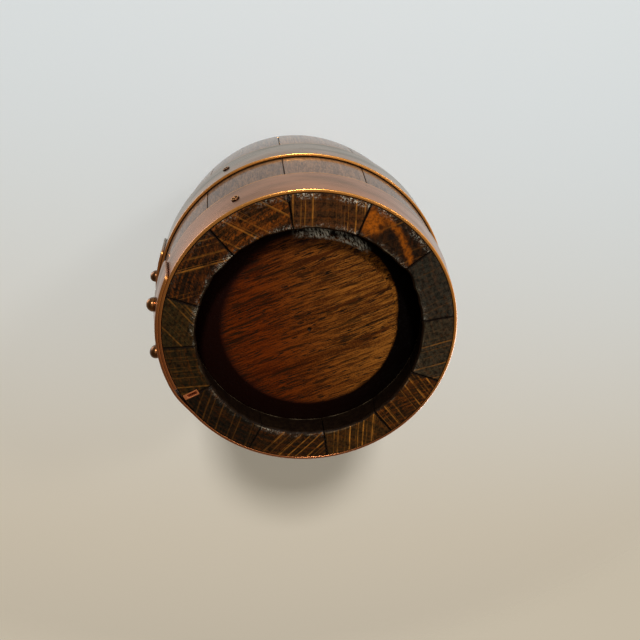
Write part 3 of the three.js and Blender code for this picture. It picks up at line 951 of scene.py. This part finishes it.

# %% [markdown]
# ## The bottom head
#
# The head is one round board whose edge is bevelled to a tongue and pushed into the croze. Its middle stays
# flat, with the prick of the compass that drew it. It is a turned piece, so its outline is spun all the way
# round. The flat is redder on one side, and towards the other side it is paler with a painted sheen. The
# bevel is dark red with stain, and black on the sheen side. Where the bevel was cut against the grain, less
# stain took, and the wood tore: its pale fibres stand up.

# %% Finish of the head
HEAD_GRAIN = math.radians(63)
HEAD_DARK_RED = colour(46, 14, 2)
# The head's colours come in pairs: the redder wood, and the same wood made paler and greyer by a painted
# sheen on one side.
HEAD_DARK_SHEEN = colour(70, 33, 7)
HEAD_LIGHT_RED = colour(98, 38, 4)
HEAD_LIGHT_SHEEN = colour(150, 92, 32)
HEAD_PORE = colour(24, 14, 5)
BEVEL_STAIN = colour(23, 7, 4)
BEVEL_BLACK = colour(6, 3, 2)
FIBRE_PALE = colour(238, 230, 210)
TORN_WAY = at_angle(1, math.radians(187), 0)
TORN_EDGE = math.cos(math.radians(24))
TORN_MIDDLE = math.cos(math.radians(14))
TORN_START = HEAD_FLAT_RADIUS + 3.0 * MM
TORN_END = HEAD_FLAT_RADIUS + 8.5 * MM
TUFT_SLANT = math.radians(30)
CLEAN_EDGE = math.cos(math.radians(75))
CLEAN_MIDDLE = math.cos(math.radians(25))
CLEAN_WIDTH = 4.5 * MM
SHEEN_WAY = (-0.35, -0.94, 0)
STAIN_START = HEAD_FLAT_RADIUS - 3.6 * MM
STAIN_END = HEAD_FLAT_RADIUS + 2 * MM
STAIN_WANDER = 1.2 * MM
SHEEN_SIDE_LATER = 4.2 * MM

head_oak, shader, place = new_finish("head_oak", Specular_IOR_Level=0.05)
vector = place["Object"]
x, y, z = parts_of(rotated(vector, math.pi / 2 - HEAD_GRAIN))
# Painted sheen: the flat turns paler towards one side, and on that side the bevel turns black.
sheen_side = ramp(dot(vector, SHEEN_WAY), -0.6 * HEAD_FLAT_RADIUS, 1.15 * HEAD_FLAT_RADIUS)
grain = use(
    long_grain,
    Vector=joined(x, z, y),
    Dark=mix(sheen_side, HEAD_DARK_RED, HEAD_DARK_SHEEN),
    Light=mix(sheen_side, HEAD_LIGHT_RED, HEAD_LIGHT_SHEEN),
    Pore=HEAD_PORE,
    Pores=1.0,
    Smudges=0.75,
    Wash=0.35,
)
radius = distance_to(vector)
edge = radius + noise(vector, 120, 3) * STAIN_WANDER
towards = dot(vector, TORN_WAY) / radius
clean = ramp(towards, CLEAN_EDGE, CLEAN_MIDDLE) * CLEAN_WIDTH
is_bevel = ramp(edge, STAIN_START + sheen_side * SHEEN_SIDE_LATER + clean, STAIN_END + clean)
wood = mix(is_bevel, grain["Color"], mix(sheen_side, BEVEL_STAIN, BEVEL_BLACK))
tufts = noise(stretched(rotated(vector, TUFT_SLANT), (0.3, 1, 1)), 1200, 4, 0.7)
tufts = ramp(tufts, 0.41, 0.58) * ramp(noise(vector, 210, 3), 0.34, 0.54)
within = ramp(edge, TORN_END, TORN_END - 2 * MM) * ramp(edge, TORN_START, TORN_START + 1.5 * MM)
wood = mix(ramp(towards, TORN_EDGE, TORN_MIDDLE) * tufts * within, wood, FIBRE_PALE)
wood = mix(ramp(radius, 1.6 * MM, 0.7 * MM), wood, HEAD_PORE)
rough = 0.42 + grain["Gap"] * 0.3
connect(shader, Base_Color=wood, Roughness=rough, Normal=bump(grain["Height"], 0.12 * MM))
print("finish", head_oak.name)

# %% Turn the head
HEAD_THICKNESS = 13 * MM
HEAD_TOP_BEVEL = 4 * MM
HEAD_SIDES = 96
PRICK_RADIUS = 0.9 * MM
PRICK_DEPTH = 1.2 * MM
FLAT_RINGS = spread(5 * MM, HEAD_FLAT_RADIUS, 5)
head_edge = CROZE_RADIUS - FIT_GAP
head_top = HEAD_RECESS + HEAD_THICKNESS
head = turned_piece("bottom_head_wood", [
    (0, HEAD_RECESS + PRICK_DEPTH),
    (PRICK_RADIUS, HEAD_RECESS),
    *[(ring, HEAD_RECESS) for ring in FLAT_RINGS],
    (head_edge, CROZE_HEIGHT),
    (head_edge, CROZE_HEIGHT + HEAD_EDGE),
    (head_edge - CROZE_DEPTH - HEAD_TOP_BEVEL, head_top),
    (0, head_top),
], HEAD_SIDES)
round_edges(head, sharper_than=18)
settle(head, "bottom_head", head_oak)
print("head faces", len(head.data.polygons))

# %% [markdown]
# ## Copper
#
# Old copper is a metal mirror with a skin. Where hands polish it, it stays pink and bright, and elsewhere a
# brown film grows in clouds. Drawing the strip through rollers leaves fine lines along it, and the film
# follows them in streaks. The group makes both from noise that is drawn out along the strip, which runs
# round the axis: an angle times a radius gives the length along it. The edges of a strip are rubbed bare,
# and they are painted golden on the spout's side as a highlight and tan on the other side. Low on its face
# a strip is painted a little orange, as a reflection.

# %% Node group for the skin of copper
copper_skin, inlet, outlet = new_group(
    "Skin of copper", ["Bright", "Film"], ["Share", "Polish"], ["Roughness", "Height"]
)
x, y, z = parts_of(inlet["Vector"])
turn = calc("ARCTAN2", y * -1.0, x * -1.0)


def along_strip(stretch):
    """The place on the strip, with its length drawn together so that noise comes out as streaks."""
    return joined(turn * stretch, z)


lines = noise(along_strip(3 * MM), 2600, 3)
clouds = noise(along_strip(14 * MM), 130, 5)
spots = ramp(noise(inlet["Vector"], 420, 4), 0.56, 0.72)
film = highest(ramp(clouds + lines * 0.2, 0.45, 0.8), spots * 0.6) * inlet["Share"]
connect(
    outlet,
    Color=mix(film, inlet["Bright"], inlet["Film"]),
    Roughness=inlet["Polish"] + film * 0.12 + lines * 0.08,
    Height=noise(inlet["Vector"], 120) + lines * 0.05,
)
print("group", copper_skin.name, "nodes", len(copper_skin.nodes))

# %% Copper finishes
COPPER_PINK = colour(174, 122, 92)
COPPER_FILM = colour(118, 88, 66)
COPPER_GREY = colour(134, 108, 84)
COPPER_OLIVE = colour(100, 88, 68)
COPPER_BROWN = colour(66, 40, 24)
COPPER_RUBBED = colour(178, 118, 66)
COPPER_GOLD = colour(232, 158, 78)
COPPER_TAN = colour(168, 100, 58)
COPPER_ORANGE = colour(216, 136, 88)
COPPER_RED = colour(170, 84, 44)
BRASS_BRIGHT = colour(196, 158, 92)
HIGHLIGHT_WAY = (-0.94, -0.34, 0)
HIGHLIGHT_SPAN = 40 * MM


def copper_finish(name, bright, film, share, polish, dent, brown_sides=0.0, strip=None):
    """Copper under its film. A strip's face gets a painted orange reflection low down, and its edges are
    rubbed bare and painted golden towards the spout as a highlight; the sides of heads stay brown.
    """
    finish, shader, place = new_finish(name, Metallic=1.0)
    vector = place["Object"]
    skin = use(copper_skin, Vector=vector, Bright=bright, Film=film, Share=share, Polish=polish)
    metal = skin["Color"]
    if strip:
        low, high = strip
        height = parts_of(vector)[2]
        # Painted reflection: the face turns a little orange towards the strip's lower edge.
        metal = mix(ramp(height, low + 0.6 * (high - low), low) * 0.25, metal, COPPER_ORANGE)
        top = ramp(height, high - 0.9 * MM, high - 0.4 * MM)
        edges = highest(ramp(endward_share(place), 0.4, 0.7), top)
        # The rubbed edges are golden towards the spout's side as a painted highlight, and tan on the other
        # side.
        rubbed_and_highlight = ramp(dot(vector, HIGHLIGHT_WAY), -HIGHLIGHT_SPAN, HIGHLIGHT_SPAN)
        metal = mix(edges * 0.9, metal, mix(rubbed_and_highlight, COPPER_TAN, COPPER_GOLD))
    sides = ramp(outward_share(place), 0.95, 0.72) * brown_sides
    metal = mix(sides, metal, COPPER_BROWN)
    connect(shader, Base_Color=metal, Roughness=skin["Roughness"], Normal=bump(skin["Height"], dent))
    return finish


rivet_copper = copper_finish("rivet_copper", COPPER_RUBBED, COPPER_BROWN, 0.9, 0.2, 0.3 * MM, 0.7)
nail_copper = copper_finish("nail_copper", COPPER_GOLD, COPPER_BROWN, 0.5, 0.25, 0.1 * MM, 1.0)
shim_copper = copper_finish("shim_copper", COPPER_ORANGE, COPPER_RED, 0.4, 0.45, 0.2 * MM)
screw_brass = copper_finish("screw_brass", BRASS_BRIGHT, COPPER_BROWN, 0.6, 0.25, 0.1 * MM)
print("finishes", rivet_copper.name, nail_copper.name, shim_copper.name, screw_brass.name)

# %% [markdown]
# ## The hoops
#
# A hoop is one strip of copper bent round the barrel until its end rides up over its beginning, where two
# rivets go through both layers. The strip's small section is spun round the axis. Over the last few
# degrees it climbs onto itself: there the spin goes one short step at a time, and after each step the new
# section is scaled outwards a little. The corners of the free end are rounded so that they don't catch a
# sleeve.

# %% Section and lap of a hoop
HOOP_THICKNESS = 1.2 * MM
HOOP_HUG = 0.1 * MM


def lap_angle(hoop):
    """The lap's middle lies midway between its two rivets."""
    return (node_angle(hoop + "_rivet_1") + node_angle(hoop + "_rivet_2")) / 2


def hoop_section(low, high):
    """The strip's corners as (radius, height), clear of the wood that bulges between its two edges."""
    edges = (outer_radius(low) + outer_radius(high)) / 2
    clearance = max(0, outer_radius((low + high) / 2) - edges)
    inner_low, inner_high = outer_radius(low) + clearance, outer_radius(high) + clearance
    return [
        (inner_low + FIT_GAP + HOOP_THICKNESS, low),
        (inner_high + FIT_GAP + HOOP_THICKNESS, high),
        (inner_high + HOOP_HUG, high),
        (inner_low + HOOP_HUG, low),
    ]


print("hoops to bend", len(HOOPS))

# %% Bend the hoops
HOOP_ROUNDING = 0.6 * MM
LAP_GAP = 0.3 * MM
LAP_LIFT = HOOP_THICKNESS + LAP_GAP
LAP_LENGTH = 62 * MM
LAP_RAMP = 18 * MM
RAMP_STEPS = 8
HOOP_STEP = math.radians(3)
END_ROUNDING = 2.5 * MM
END_SHARES = (0, 0.5, 0.85, 1)
# The lower belly hoop and the rim hoop are greyer and olive. On the lower belly hoop this grey is a painted
# reflection: its face, seen at a grazing angle, mirrors the pale room.
HOOP_COLOURS = {
    "chime_hoop": (COPPER_PINK, COPPER_FILM),
    "lower_belly_hoop": (COPPER_GREY, COPPER_OLIVE),
    "upper_belly_hoop": (COPPER_PINK, COPPER_FILM),
    "rim_hoop": (COPPER_GREY, COPPER_OLIVE),
}


def scale_about(centre, factors):
    bpy.ops.transform.resize(value=factors, center_override=centre, orient_type="GLOBAL")


def bend_hoop(hoop):
    low, high = (corner.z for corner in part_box(hoop))
    middle, height = (low + high) / 2, high - low
    waist = outer_radius(middle)
    section = hoop_section(low, high)
    half_lap, ramp_turn, end_turn = LAP_LENGTH / 2 / waist, LAP_RAMP / waist, END_ROUNDING / waist
    start = lap_angle(hoop) - half_lap + FIT_GAP / waist
    plain_turn = 2 * math.pi - ramp_turn - FIT_GAP / waist
    piece = draw_outline(hoop + "_strip", [at_angle(radius, start, z) for radius, z in section])
    spin(plain_turn, round(plain_turn / HOOP_STEP))
    reached = waist
    for share in spread(0, 1, RAMP_STEPS)[1:]:
        spin(ramp_turn / RAMP_STEPS, 1)
        wanted = waist + LAP_LIFT * soft_step(share, 0, 1)
        scale_about((0, 0, middle), (wanted / reached, wanted / reached, 1))
        reached = wanted
    spin(2 * half_lap - end_turn, round(2 * half_lap / HOOP_STEP))
    ring = sum(radius for radius, z in section) / len(section) * reached / waist
    end = start + plain_turn + ramp_turn + 2 * half_lap
    reached = height
    for here, there in zip(END_SHARES, END_SHARES[1:]):
        spin((there - here) * end_turn, 1)
        wanted = height - 2 * END_ROUNDING * (1 - math.sqrt(1 - there * there))
        scale_about(at_angle(ring, end - (1 - there) * end_turn, middle), [wanted / reached] * 3)
        reached = wanted
    face_outwards()
    round_edges(piece, HOOP_ROUNDING, segments=4, sharper_than=50)
    bright, film = HOOP_COLOURS[hoop]
    copper = copper_finish(hoop + "_copper", bright, film, 0.8, 0.17, 0.05 * MM, strip=(low, high))
    return settle(piece, hoop, copper)


for hoop in HOOPS:
    strip = bend_hoop(hoop)
    print(hoop, "faces", len(strip.data.polygons))

# %% [markdown]
# ## Rivets and nails
#
# A fastener is modelled once, about the Z axis, and copied to its places. A matrix stands each copy
# square on the barrel: its Z axis goes along the barrel's normal at that place.

# %% Stand a fastener on the barrel
def barrel_normal(angle, height):
    slope = (outer_radius(height + MM) - outer_radius(height - MM)) / (2 * MM)
    return Vector((math.cos(angle), math.sin(angle), -slope)).normalized()


def stood_on_barrel(angle, height, distance, own_turn):
    """The matrix that takes a piece from the Z axis to its seat, a distance outside the wood."""
    normal = barrel_normal(angle, height)
    place = at_angle(outer_radius(height), angle, height) + normal * distance
    aim = Vector(UPRIGHT).rotation_difference(normal).to_matrix().to_4x4()
    return Matrix.Translation(place) @ aim @ Matrix.Rotation(own_turn, 4, "Z")


def set_in_hoops(model, word, slot, finish, twist, smooth_below):
    """Copies a model to every node with the word in its name, at the middle of the node's hoop."""
    places = [node for node in nodes if word in node]
    for number, node in enumerate(places):
        hoop_low, hoop_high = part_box(node.split(word)[0])
        height = (hoop_low.z + hoop_high.z) / 2
        seat = stood_on_barrel(node_angle(node), height, FIT_GAP, twist * number)
        settle(copy_of(model, node + "_head", seat), node, finish, smooth_below)
    bpy.data.objects.remove(model)
    print(slot, "set", len(places))


print("normal at the belly", [round(part, 2) for part in barrel_normal(0, BELLY_HEIGHT)])

# %% [markdown]
# The rivets were headed by hand, so their domes, each on a small collar, are a little lopsided.

# %% Head the rivets
FASTENER_SIDES = 20
RIVET_SEAT = LAP_LIFT + HOOP_THICKNESS
RIVET_COLLAR_RADIUS = 3.7 * MM
RIVET_COLLAR = 0.6 * MM
RIVET_RADIUS = 3.4 * MM
RIVET_RISE = 3.3 * MM
RIVET_SHANK_RADIUS = 1.6 * MM
RIVET_LEAN = 0.12
RIVET_STRETCH = 1.04
RIVET_TWIST = 2.1
DOME_TURNS = spread(math.radians(-12), math.pi / 2, 8)
dome_foot = RIVET_SEAT + RIVET_COLLAR
rivet_model = turned_piece("rivet_model", [
    (0, 0),
    (RIVET_SHANK_RADIUS, 0),
    (RIVET_SHANK_RADIUS, RIVET_SEAT),
    (RIVET_COLLAR_RADIUS, RIVET_SEAT),
    (RIVET_COLLAR_RADIUS, RIVET_SEAT + RIVET_COLLAR / 2),
    *[(RIVET_RADIUS * math.cos(turn), dome_foot + RIVET_RISE * math.sin(turn)) for turn in DOME_TURNS[:-1]],
    (0, dome_foot + RIVET_RISE),
], FASTENER_SIDES)
for corner in rivet_model.data.vertices:
    if corner.co.z > dome_foot:
        corner.co.x += RIVET_LEAN * (corner.co.z - RIVET_SEAT)
        corner.co.y *= RIVET_STRETCH
set_in_hoops(rivet_model, "_rivet_", "copper_rivet", rivet_copper, RIVET_TWIST, smooth_below=50)

# %% [markdown]
# The nails were set with a punch, which left a sunk ring round the middle of each flat head.

# %% Drive the nails
NAIL_RADIUS = 2 * MM
NAIL_RISE = 0.8 * MM
NAIL_HEAD = [(1, 0), (1, 0.4), (0.9, 0.75), (0.72, 0.75), (0.55, 0.2), (0.36, 0.25), (0.22, 0.9), (0, 1)]
NAIL_SHANK_RADIUS = 0.8 * MM
NAIL_SHANK = 6 * MM
NAIL_TWIST = 1.3
nail_model = turned_piece("nail_model", [
    (0, -NAIL_SHANK),
    (NAIL_SHANK_RADIUS, NAIL_SHANK_RADIUS - NAIL_SHANK),
    (NAIL_SHANK_RADIUS, HOOP_THICKNESS),
    *[(NAIL_RADIUS * out, HOOP_THICKNESS + NAIL_RISE * up) for out, up in NAIL_HEAD],
], FASTENER_SIDES)
set_in_hoops(nail_model, "_nail_", "copper_nail", nail_copper, NAIL_TWIST, smooth_below=35)

# %% [markdown]
# ## The shim
#
# One stave joint was slack, so the cooper drove a scrap of copper into it: a strip folded round on
# itself, whose edge shows at the foot as a narrow loop. Its outline is drawn at the foot, and one
# extrusion along the joint gives it depth. A thin block then cuts the hollow of the fold.

# %% Fold the shim
SHIM_LEAF = 0.8 * MM
SHIM_HEEL = 2 * MM
SHIM_SETBACK = 0.1 * MM
SHIM_ROUNDING = 0.25 * MM
FOLD_DEPTH = 6 * MM
half = SHIM_WIDTH / 2
shim_end = SHIM_MIDDLE + SHIM_LENGTH / 2
shim_fold = SHIM_MIDDLE - SHIM_LENGTH / 2
foot_corners = [(shim_end, -half), (shim_end, half), (shim_fold, half), (shim_fold, -half)]
shim = draw_outline("chime_shim_strip", [Vector((x, y, SHIM_SETBACK)) for x, y in foot_corners])
bpy.ops.mesh.extrude_region_move(TRANSFORM_OT_translate={"value": (0, 0, SHIM_DEPTH - SHIM_SETBACK)})
face_outwards()
fold_size = (SHIM_LENGTH - SHIM_LEAF - SHIM_HEEL, SHIM_WIDTH - 2 * SHIM_LEAF, 2 * FOLD_DEPTH)
fold_middle = (shim_fold + SHIM_LEAF + shim_end - SHIM_HEEL) / 2
cut(shim, block(fold_size, Matrix.Translation((fold_middle, 0, 0))))
shim.data.transform(Matrix.Rotation(SHIM_ANGLE, 4, "Z"))
round_edges(shim, SHIM_ROUNDING)
settle(shim, "chime_shim", shim_copper)
print("shim faces", len(shim.data.polygons))

# %% [markdown]
# ## The handle
#
# The handle is sawn from a board and rounded over. It follows one smooth curve from foot to foot, so it
# is made as a row of rounded rectangles that stand square to that curve, bridged into a tube and smoothed
# by a subdivision surface. The feet are then cut to the barrel with a boolean, as a cooper scribes them.

# %% Finish of the handle
handle_oak, shader, place = new_finish("handle_oak", Coat_Roughness=0.16)
grain = use(
    long_grain,
    Vector=place["Object"],
    Dark=STAVE_DARK,
    Light=STAVE_LIGHT,
    Pore=STAVE_PORE,
    Pores=1.0,
    Smudges=0.3,
    Wash=0.4,
)
rubbed_and_highlight = ramp(noise(place["Object"], 40, 3), 0.45, 0.75)
connect(
    shader,
    Base_Color=grain["Color"],
    Roughness=0.38 + rubbed_and_highlight * 0.15,
    Coat_Weight=1.0 - highest(grain["Gap"], rubbed_and_highlight * 0.5),
    Normal=bump(grain["Height"], 0.12 * MM),
)
print("finish", handle_oak.name)

# %% Curve of the handle
FOOT_LOW = 94 * MM
FOOT_HIGH = 174 * MM
GRIP_DEPTH = 19 * MM
FINGER_GAP = 38 * MM
HANDLE_ARM = 28.5 * MM
HANDLE_CROWN = 16 * MM
HANDLE_SAG = 10 * MM
HALF_SECTIONS = 12


def handle_line():
    """Points along the middle of the handle, from the lower foot to the upper one."""
    grip = BELLY_RADIUS + FINGER_GAP + GRIP_DEPTH / 2
    low_foot, high_foot = outer_radius(FOOT_LOW), outer_radius(FOOT_HIGH)
    middle = (grip, (FOOT_LOW + FOOT_HIGH) / 2)
    sag, crown = FOOT_LOW - HANDLE_SAG, FOOT_HIGH + HANDLE_CROWN
    low_end, high_end = low_foot - BELLY_WALL / 2, high_foot - BELLY_WALL / 2
    lower = [(low_end, FOOT_LOW), (low_foot + HANDLE_ARM, sag), (grip, sag), middle]
    upper = [middle, (grip, crown), (high_foot + HANDLE_ARM, crown), (high_end, FOOT_HIGH)]
    points = []
    for curve in (lower, upper):
        corners = [Vector((x, 0, z)) for x, z in curve]
        points = points[:-1] + interpolate_bezier(*corners, HALF_SECTIONS)
    return points


def shares_along(points):
    """How far along the line each point lies, from 0 to 1."""
    lengths = [0.0]
    for here, there in zip(points, points[1:]):
        lengths.append(lengths[-1] + (there - here).length)
    return [length / lengths[-1] for length in lengths]


line = handle_line()
print("sections along the handle", len(line))

# %% Bridge the handle's sections
FOOT_HEIGHT = 28 * MM
FOOT_WIDTH = 30 * MM
GRIP_WIDTH = 24 * MM
FOOT_FLARE = 4
CORNER_SHARE = 30


def handle_section(centre, tangent, share):
    """Adds one rounded rectangle, square to the handle's line, to the mesh in edit mode."""
    flare = abs(math.cos(math.pi * share)) ** FOOT_FLARE
    depth = GRIP_DEPTH + (FOOT_HEIGHT - GRIP_DEPTH) * flare
    width = GRIP_WIDTH + (FOOT_WIDTH - GRIP_WIDTH) * flare
    lean = math.atan2(tangent.x, tangent.z)
    bpy.ops.mesh.select_all(action="DESELECT")
    bpy.ops.mesh.primitive_plane_add(size=1)
    bpy.ops.transform.resize(value=(depth, width, 1), center_override=(0, 0, 0))
    bpy.ops.mesh.bevel(offset_type="PERCENT", offset_pct=CORNER_SHARE, segments=2, affect="VERTICES")
    bpy.ops.transform.rotate(value=-lean, orient_axis="Y", center_override=(0, 0, 0))
    bpy.ops.transform.translate(value=centre)


handle = start_piece("handle_wood")
bpy.ops.mesh.delete(type="VERT")
for i, (centre, share) in enumerate(zip(line, shares_along(line))):
    tangent = line[min(i + 1, len(line) - 1)] - line[max(i - 1, 0)]
    handle_section(centre, tangent, share)
bpy.ops.mesh.select_all(action="SELECT")
bpy.ops.mesh.delete(type="ONLY_FACE")
bpy.ops.mesh.select_all(action="SELECT")
bpy.ops.mesh.bridge_edge_loops()
bpy.ops.mesh.select_all(action="DESELECT")
bpy.ops.mesh.select_non_manifold()
bpy.ops.mesh.edge_face_add()
face_outwards()
print("handle faces", len(handle.data.polygons))

# %% Smooth the handle and scribe its feet
BARREL_SIDES = 160
BARREL_STEPS = 40
barrel_top = RIM_HEIGHT - EDGE_CHAMFER

modify(handle, "SUBSURF", levels=2, render_levels=2)
barrel = turned_piece("barrel_cutter", [
    (0, EDGE_CHAMFER),
    *[(outer_radius(z) + FIT_GAP, z) for z in spread(EDGE_CHAMFER, barrel_top, BARREL_STEPS)],
    (0, barrel_top),
], BARREL_SIDES)
cut(handle, barrel)
settle(handle, "handle", handle_oak, smooth_below=45)
print("handle faces", len(handle.data.polygons))

# %% [markdown]
# ## The handle's screws
#
# Four brass screws hold the handle from inside the barrel. Only their round heads show, each with a slot.
# The head is turned like the rivets, and a thin block cuts the slot.

# %% Turn and place the screws
SCREW_RADIUS = 4 * MM
SCREW_CROWN_RADIUS = 2.4 * MM
SCREW_RISE = 2.6 * MM
SCREW_CROWN = 1.6 * MM
SCREW_SHANK_RADIUS = 2 * MM
SCREW_GRIP = 11 * MM
SCREW_SPREAD = 5.5 * MM
SCREW_SIDES = 24
SCREW_TWIST = 0.7
SLOT_SIZE = (4 * SCREW_RADIUS, 1 * MM, 2.4 * MM)
screw_heights = [foot + side * SCREW_SPREAD for foot in (FOOT_LOW, FOOT_HIGH) for side in (-1, 1)]
for number, height in enumerate(screw_heights, 1):
    node = f"handle_screw_{number}"
    seat = inner_radius(height) - outer_radius(height) - FIT_GAP
    screw = turned_piece(node + "_brass", [
        (0, seat - SCREW_RISE),
        (SCREW_CROWN_RADIUS, seat - SCREW_RISE),
        (SCREW_RADIUS, seat - SCREW_RISE + SCREW_CROWN),
        (SCREW_RADIUS, seat),
        (SCREW_SHANK_RADIUS, seat),
        (SCREW_SHANK_RADIUS, SCREW_GRIP - SCREW_SHANK_RADIUS),
        (0, SCREW_GRIP),
    ], SCREW_SIDES)
    cut(screw, block(SLOT_SIZE, Matrix.Translation((0, 0, seat - SCREW_RISE))))
    screw.data.transform(stood_on_barrel(0, height, 0, SCREW_TWIST * number))
    settle(screw, node, screw_brass)
print("screws set", len(screw_heights))

# %% [markdown]
# ## Stage and light
#
# The pitcher is shown in a bright room. The world is a soft gradient from a cool white above the picture
# to a warm grey below it, and it looks brighter to a camera or a mirror than it shines, so that the lamps
# can model the form. What mirrors see is uneven, as a real room is: dimmer below the pitcher and on the
# picture's left, brighter low down on its right, so the dark wood keeps its depth and the copper its
# contrast. A key lamp and a fill lamp hang above, and a small front lamp, a weak glint and a broad soft
# lamp light the base.

# %% Paint the world
PAPER_COOL = colour(222, 226, 224)
PAPER_WARM = colour(197, 186, 166)
AMBIENT = 0.36
DIM_BELOW = 0.45
BRIGHT_SIDE = 0.6
DIM_SIDE = 0.65
world = bpy.data.worlds.new("room")
bpy.context.scene.world = world
world.use_nodes = True
tree = world.node_tree
way = add("TexCoord", tree=tree)["Generated"]
path = add("LightPath", tree=tree)
mirror = path["Is Glossy Ray"]
sky = mix(ramp(dot(way, PICTURE_UP), -0.45, 0.35), PAPER_WARM, PAPER_COOL)
_, leftwards, height = parts_of(way)
bright = ramp(leftwards, -0.3, -0.8) * ramp(height, 0.5, 0.1) * mirror
dim = ramp(height, 0.1, -0.5) * mirror * (1.0 - bright) * (1 - DIM_BELOW)
dim_side = ramp(leftwards, 0.1, 0.7) * mirror * (1 - DIM_SIDE)
seen = highest(path["Is Camera Ray"], mirror, path["Is Transmission Ray"])
strength = seen * (1 - AMBIENT) + AMBIENT
strength = strength * (1.0 - dim) * (1.0 + bright * BRIGHT_SIDE) * (1.0 - dim_side)
connect(tree.nodes["Background"], Color=sky, Strength=strength)
print("world", world.name)

# %% Hang the lamps
LAMP_DISTANCE = 2.5

# The way from the pitcher to each lamp, its size in metres and its power in watts.
LAMPS = {
    "key": ((0.45, -0.75, 0.55), 1.4, 55),
    "fill": ((-0.30, 0.85, 0.45), 1.4, 25),
    "front": ((-0.71, 0.08, -0.70), 0.3, 43),
    "glint": ((-0.55, -0.55, -0.62), 0.3, 5),
    "soft": ((-0.30, -0.12, -0.95), 1.6, 6),
}
for name, (towards, size, watts) in LAMPS.items():
    lamp_data = bpy.data.lights.new(name, "AREA")
    lamp_data.size = size
    lamp_data.energy = watts
    lamp = bpy.data.objects.new(name, lamp_data)
    way = Vector(towards).normalized()
    aim = way.to_track_quat("Z", "Y").to_matrix().to_4x4()
    lamp.matrix_world = Matrix.Translation((cad_low + cad_high) / 2 + way * LAMP_DISTANCE) @ aim
    bpy.context.scene.collection.objects.link(lamp)
print("lamps hung", len(LAMPS))

# %% [markdown]
# Two sheets of paper take the shadows. One lies on the floor under the pitcher, and shows to a camera
# that looks down at it. The other one touches the lip, as if the pitcher stood upside down on it, and
# shows only to a camera below the base that looks at it steeply. Each sheet lets all other rays through,
# so neither of them darkens the pitcher or hides it from the other side. Far from the pitcher the floor
# fades into the room.

# %% Lay the sheets
SHEET_SIZE = 6.0
SHEET_GAP = 0.2 * MM
FLOOR_PLAIN = 0.5
FLOOR_END = 2.2
FLOOR_GLOW = 0.1
SHEET_GLOW = 0.02
SHEET_COOL = colour(227, 233, 236)
SHEET_WARM = colour(234, 223, 204)
STEEP = 0.44
SLANT = 0.5


def lay_sheet(name, height):
    """Lays a sheet and gives the network of its paper, still empty."""
    bpy.ops.object.select_all(action="DESELECT")
    bpy.ops.mesh.primitive_plane_add(size=SHEET_SIZE, location=(0, 0, height))
    sheet = bpy.context.object
    sheet.name = name
    paper = bpy.data.materials.new(name + "_paper")
    paper.use_nodes = True
    paper.node_tree.nodes.clear()
    sheet.data.materials.append(paper)
    return paper.node_tree


def show_paper(tree, shown, tone, glow):
    """Paper with a little glow where a camera ray is to see it, and nothing for every other ray."""
    shown = shown * add("LightPath", tree=tree)["Is Camera Ray"]
    diffuse = add("BsdfDiffuse", {"Color": tone}, tree)[0]
    light = add("Emission", {"Color": tone, "Strength": glow}, tree)[0]
    paper = add("AddShader", {0: diffuse, 1: light})[0]
    clear = add("BsdfTransparent", tree=tree)[0]
    add("OutputMaterial", {"Surface": add("MixShader", {0: shown, 1: clear, 2: paper})[0]})


tree = lay_sheet("floor", -SHEET_GAP)
from_above = 1.0 - add("NewGeometry", tree=tree)["Backfacing"]
near = ramp(distance_to(add("TexCoord", tree=tree)["Object"]), FLOOR_END, FLOOR_PLAIN)
show_paper(tree, from_above * near, PAPER_COOL, FLOOR_GLOW)

tree = lay_sheet("upturned_floor", cad_high.z + SHEET_GAP)
from_below = add("NewGeometry", tree=tree)["Backfacing"]
steep = ramp(add("LayerWeight", {"Blend": 0.5}, tree)["Facing"], SLANT, STEEP)
far = parts_of(add("TexCoord", tree=tree)["Object"])[0]
tone = mix(ramp(far, -0.15, 0.45), SHEET_COOL, SHEET_WARM)
show_paper(tree, from_below * steep, tone, SHEET_GLOW)
print("sheets laid")

# %% [markdown]
# ## Last look
#
# Colours are shown as they are, with no film look.

# %% Show the colours as they are
bpy.context.scene.view_settings.view_transform = "Standard"
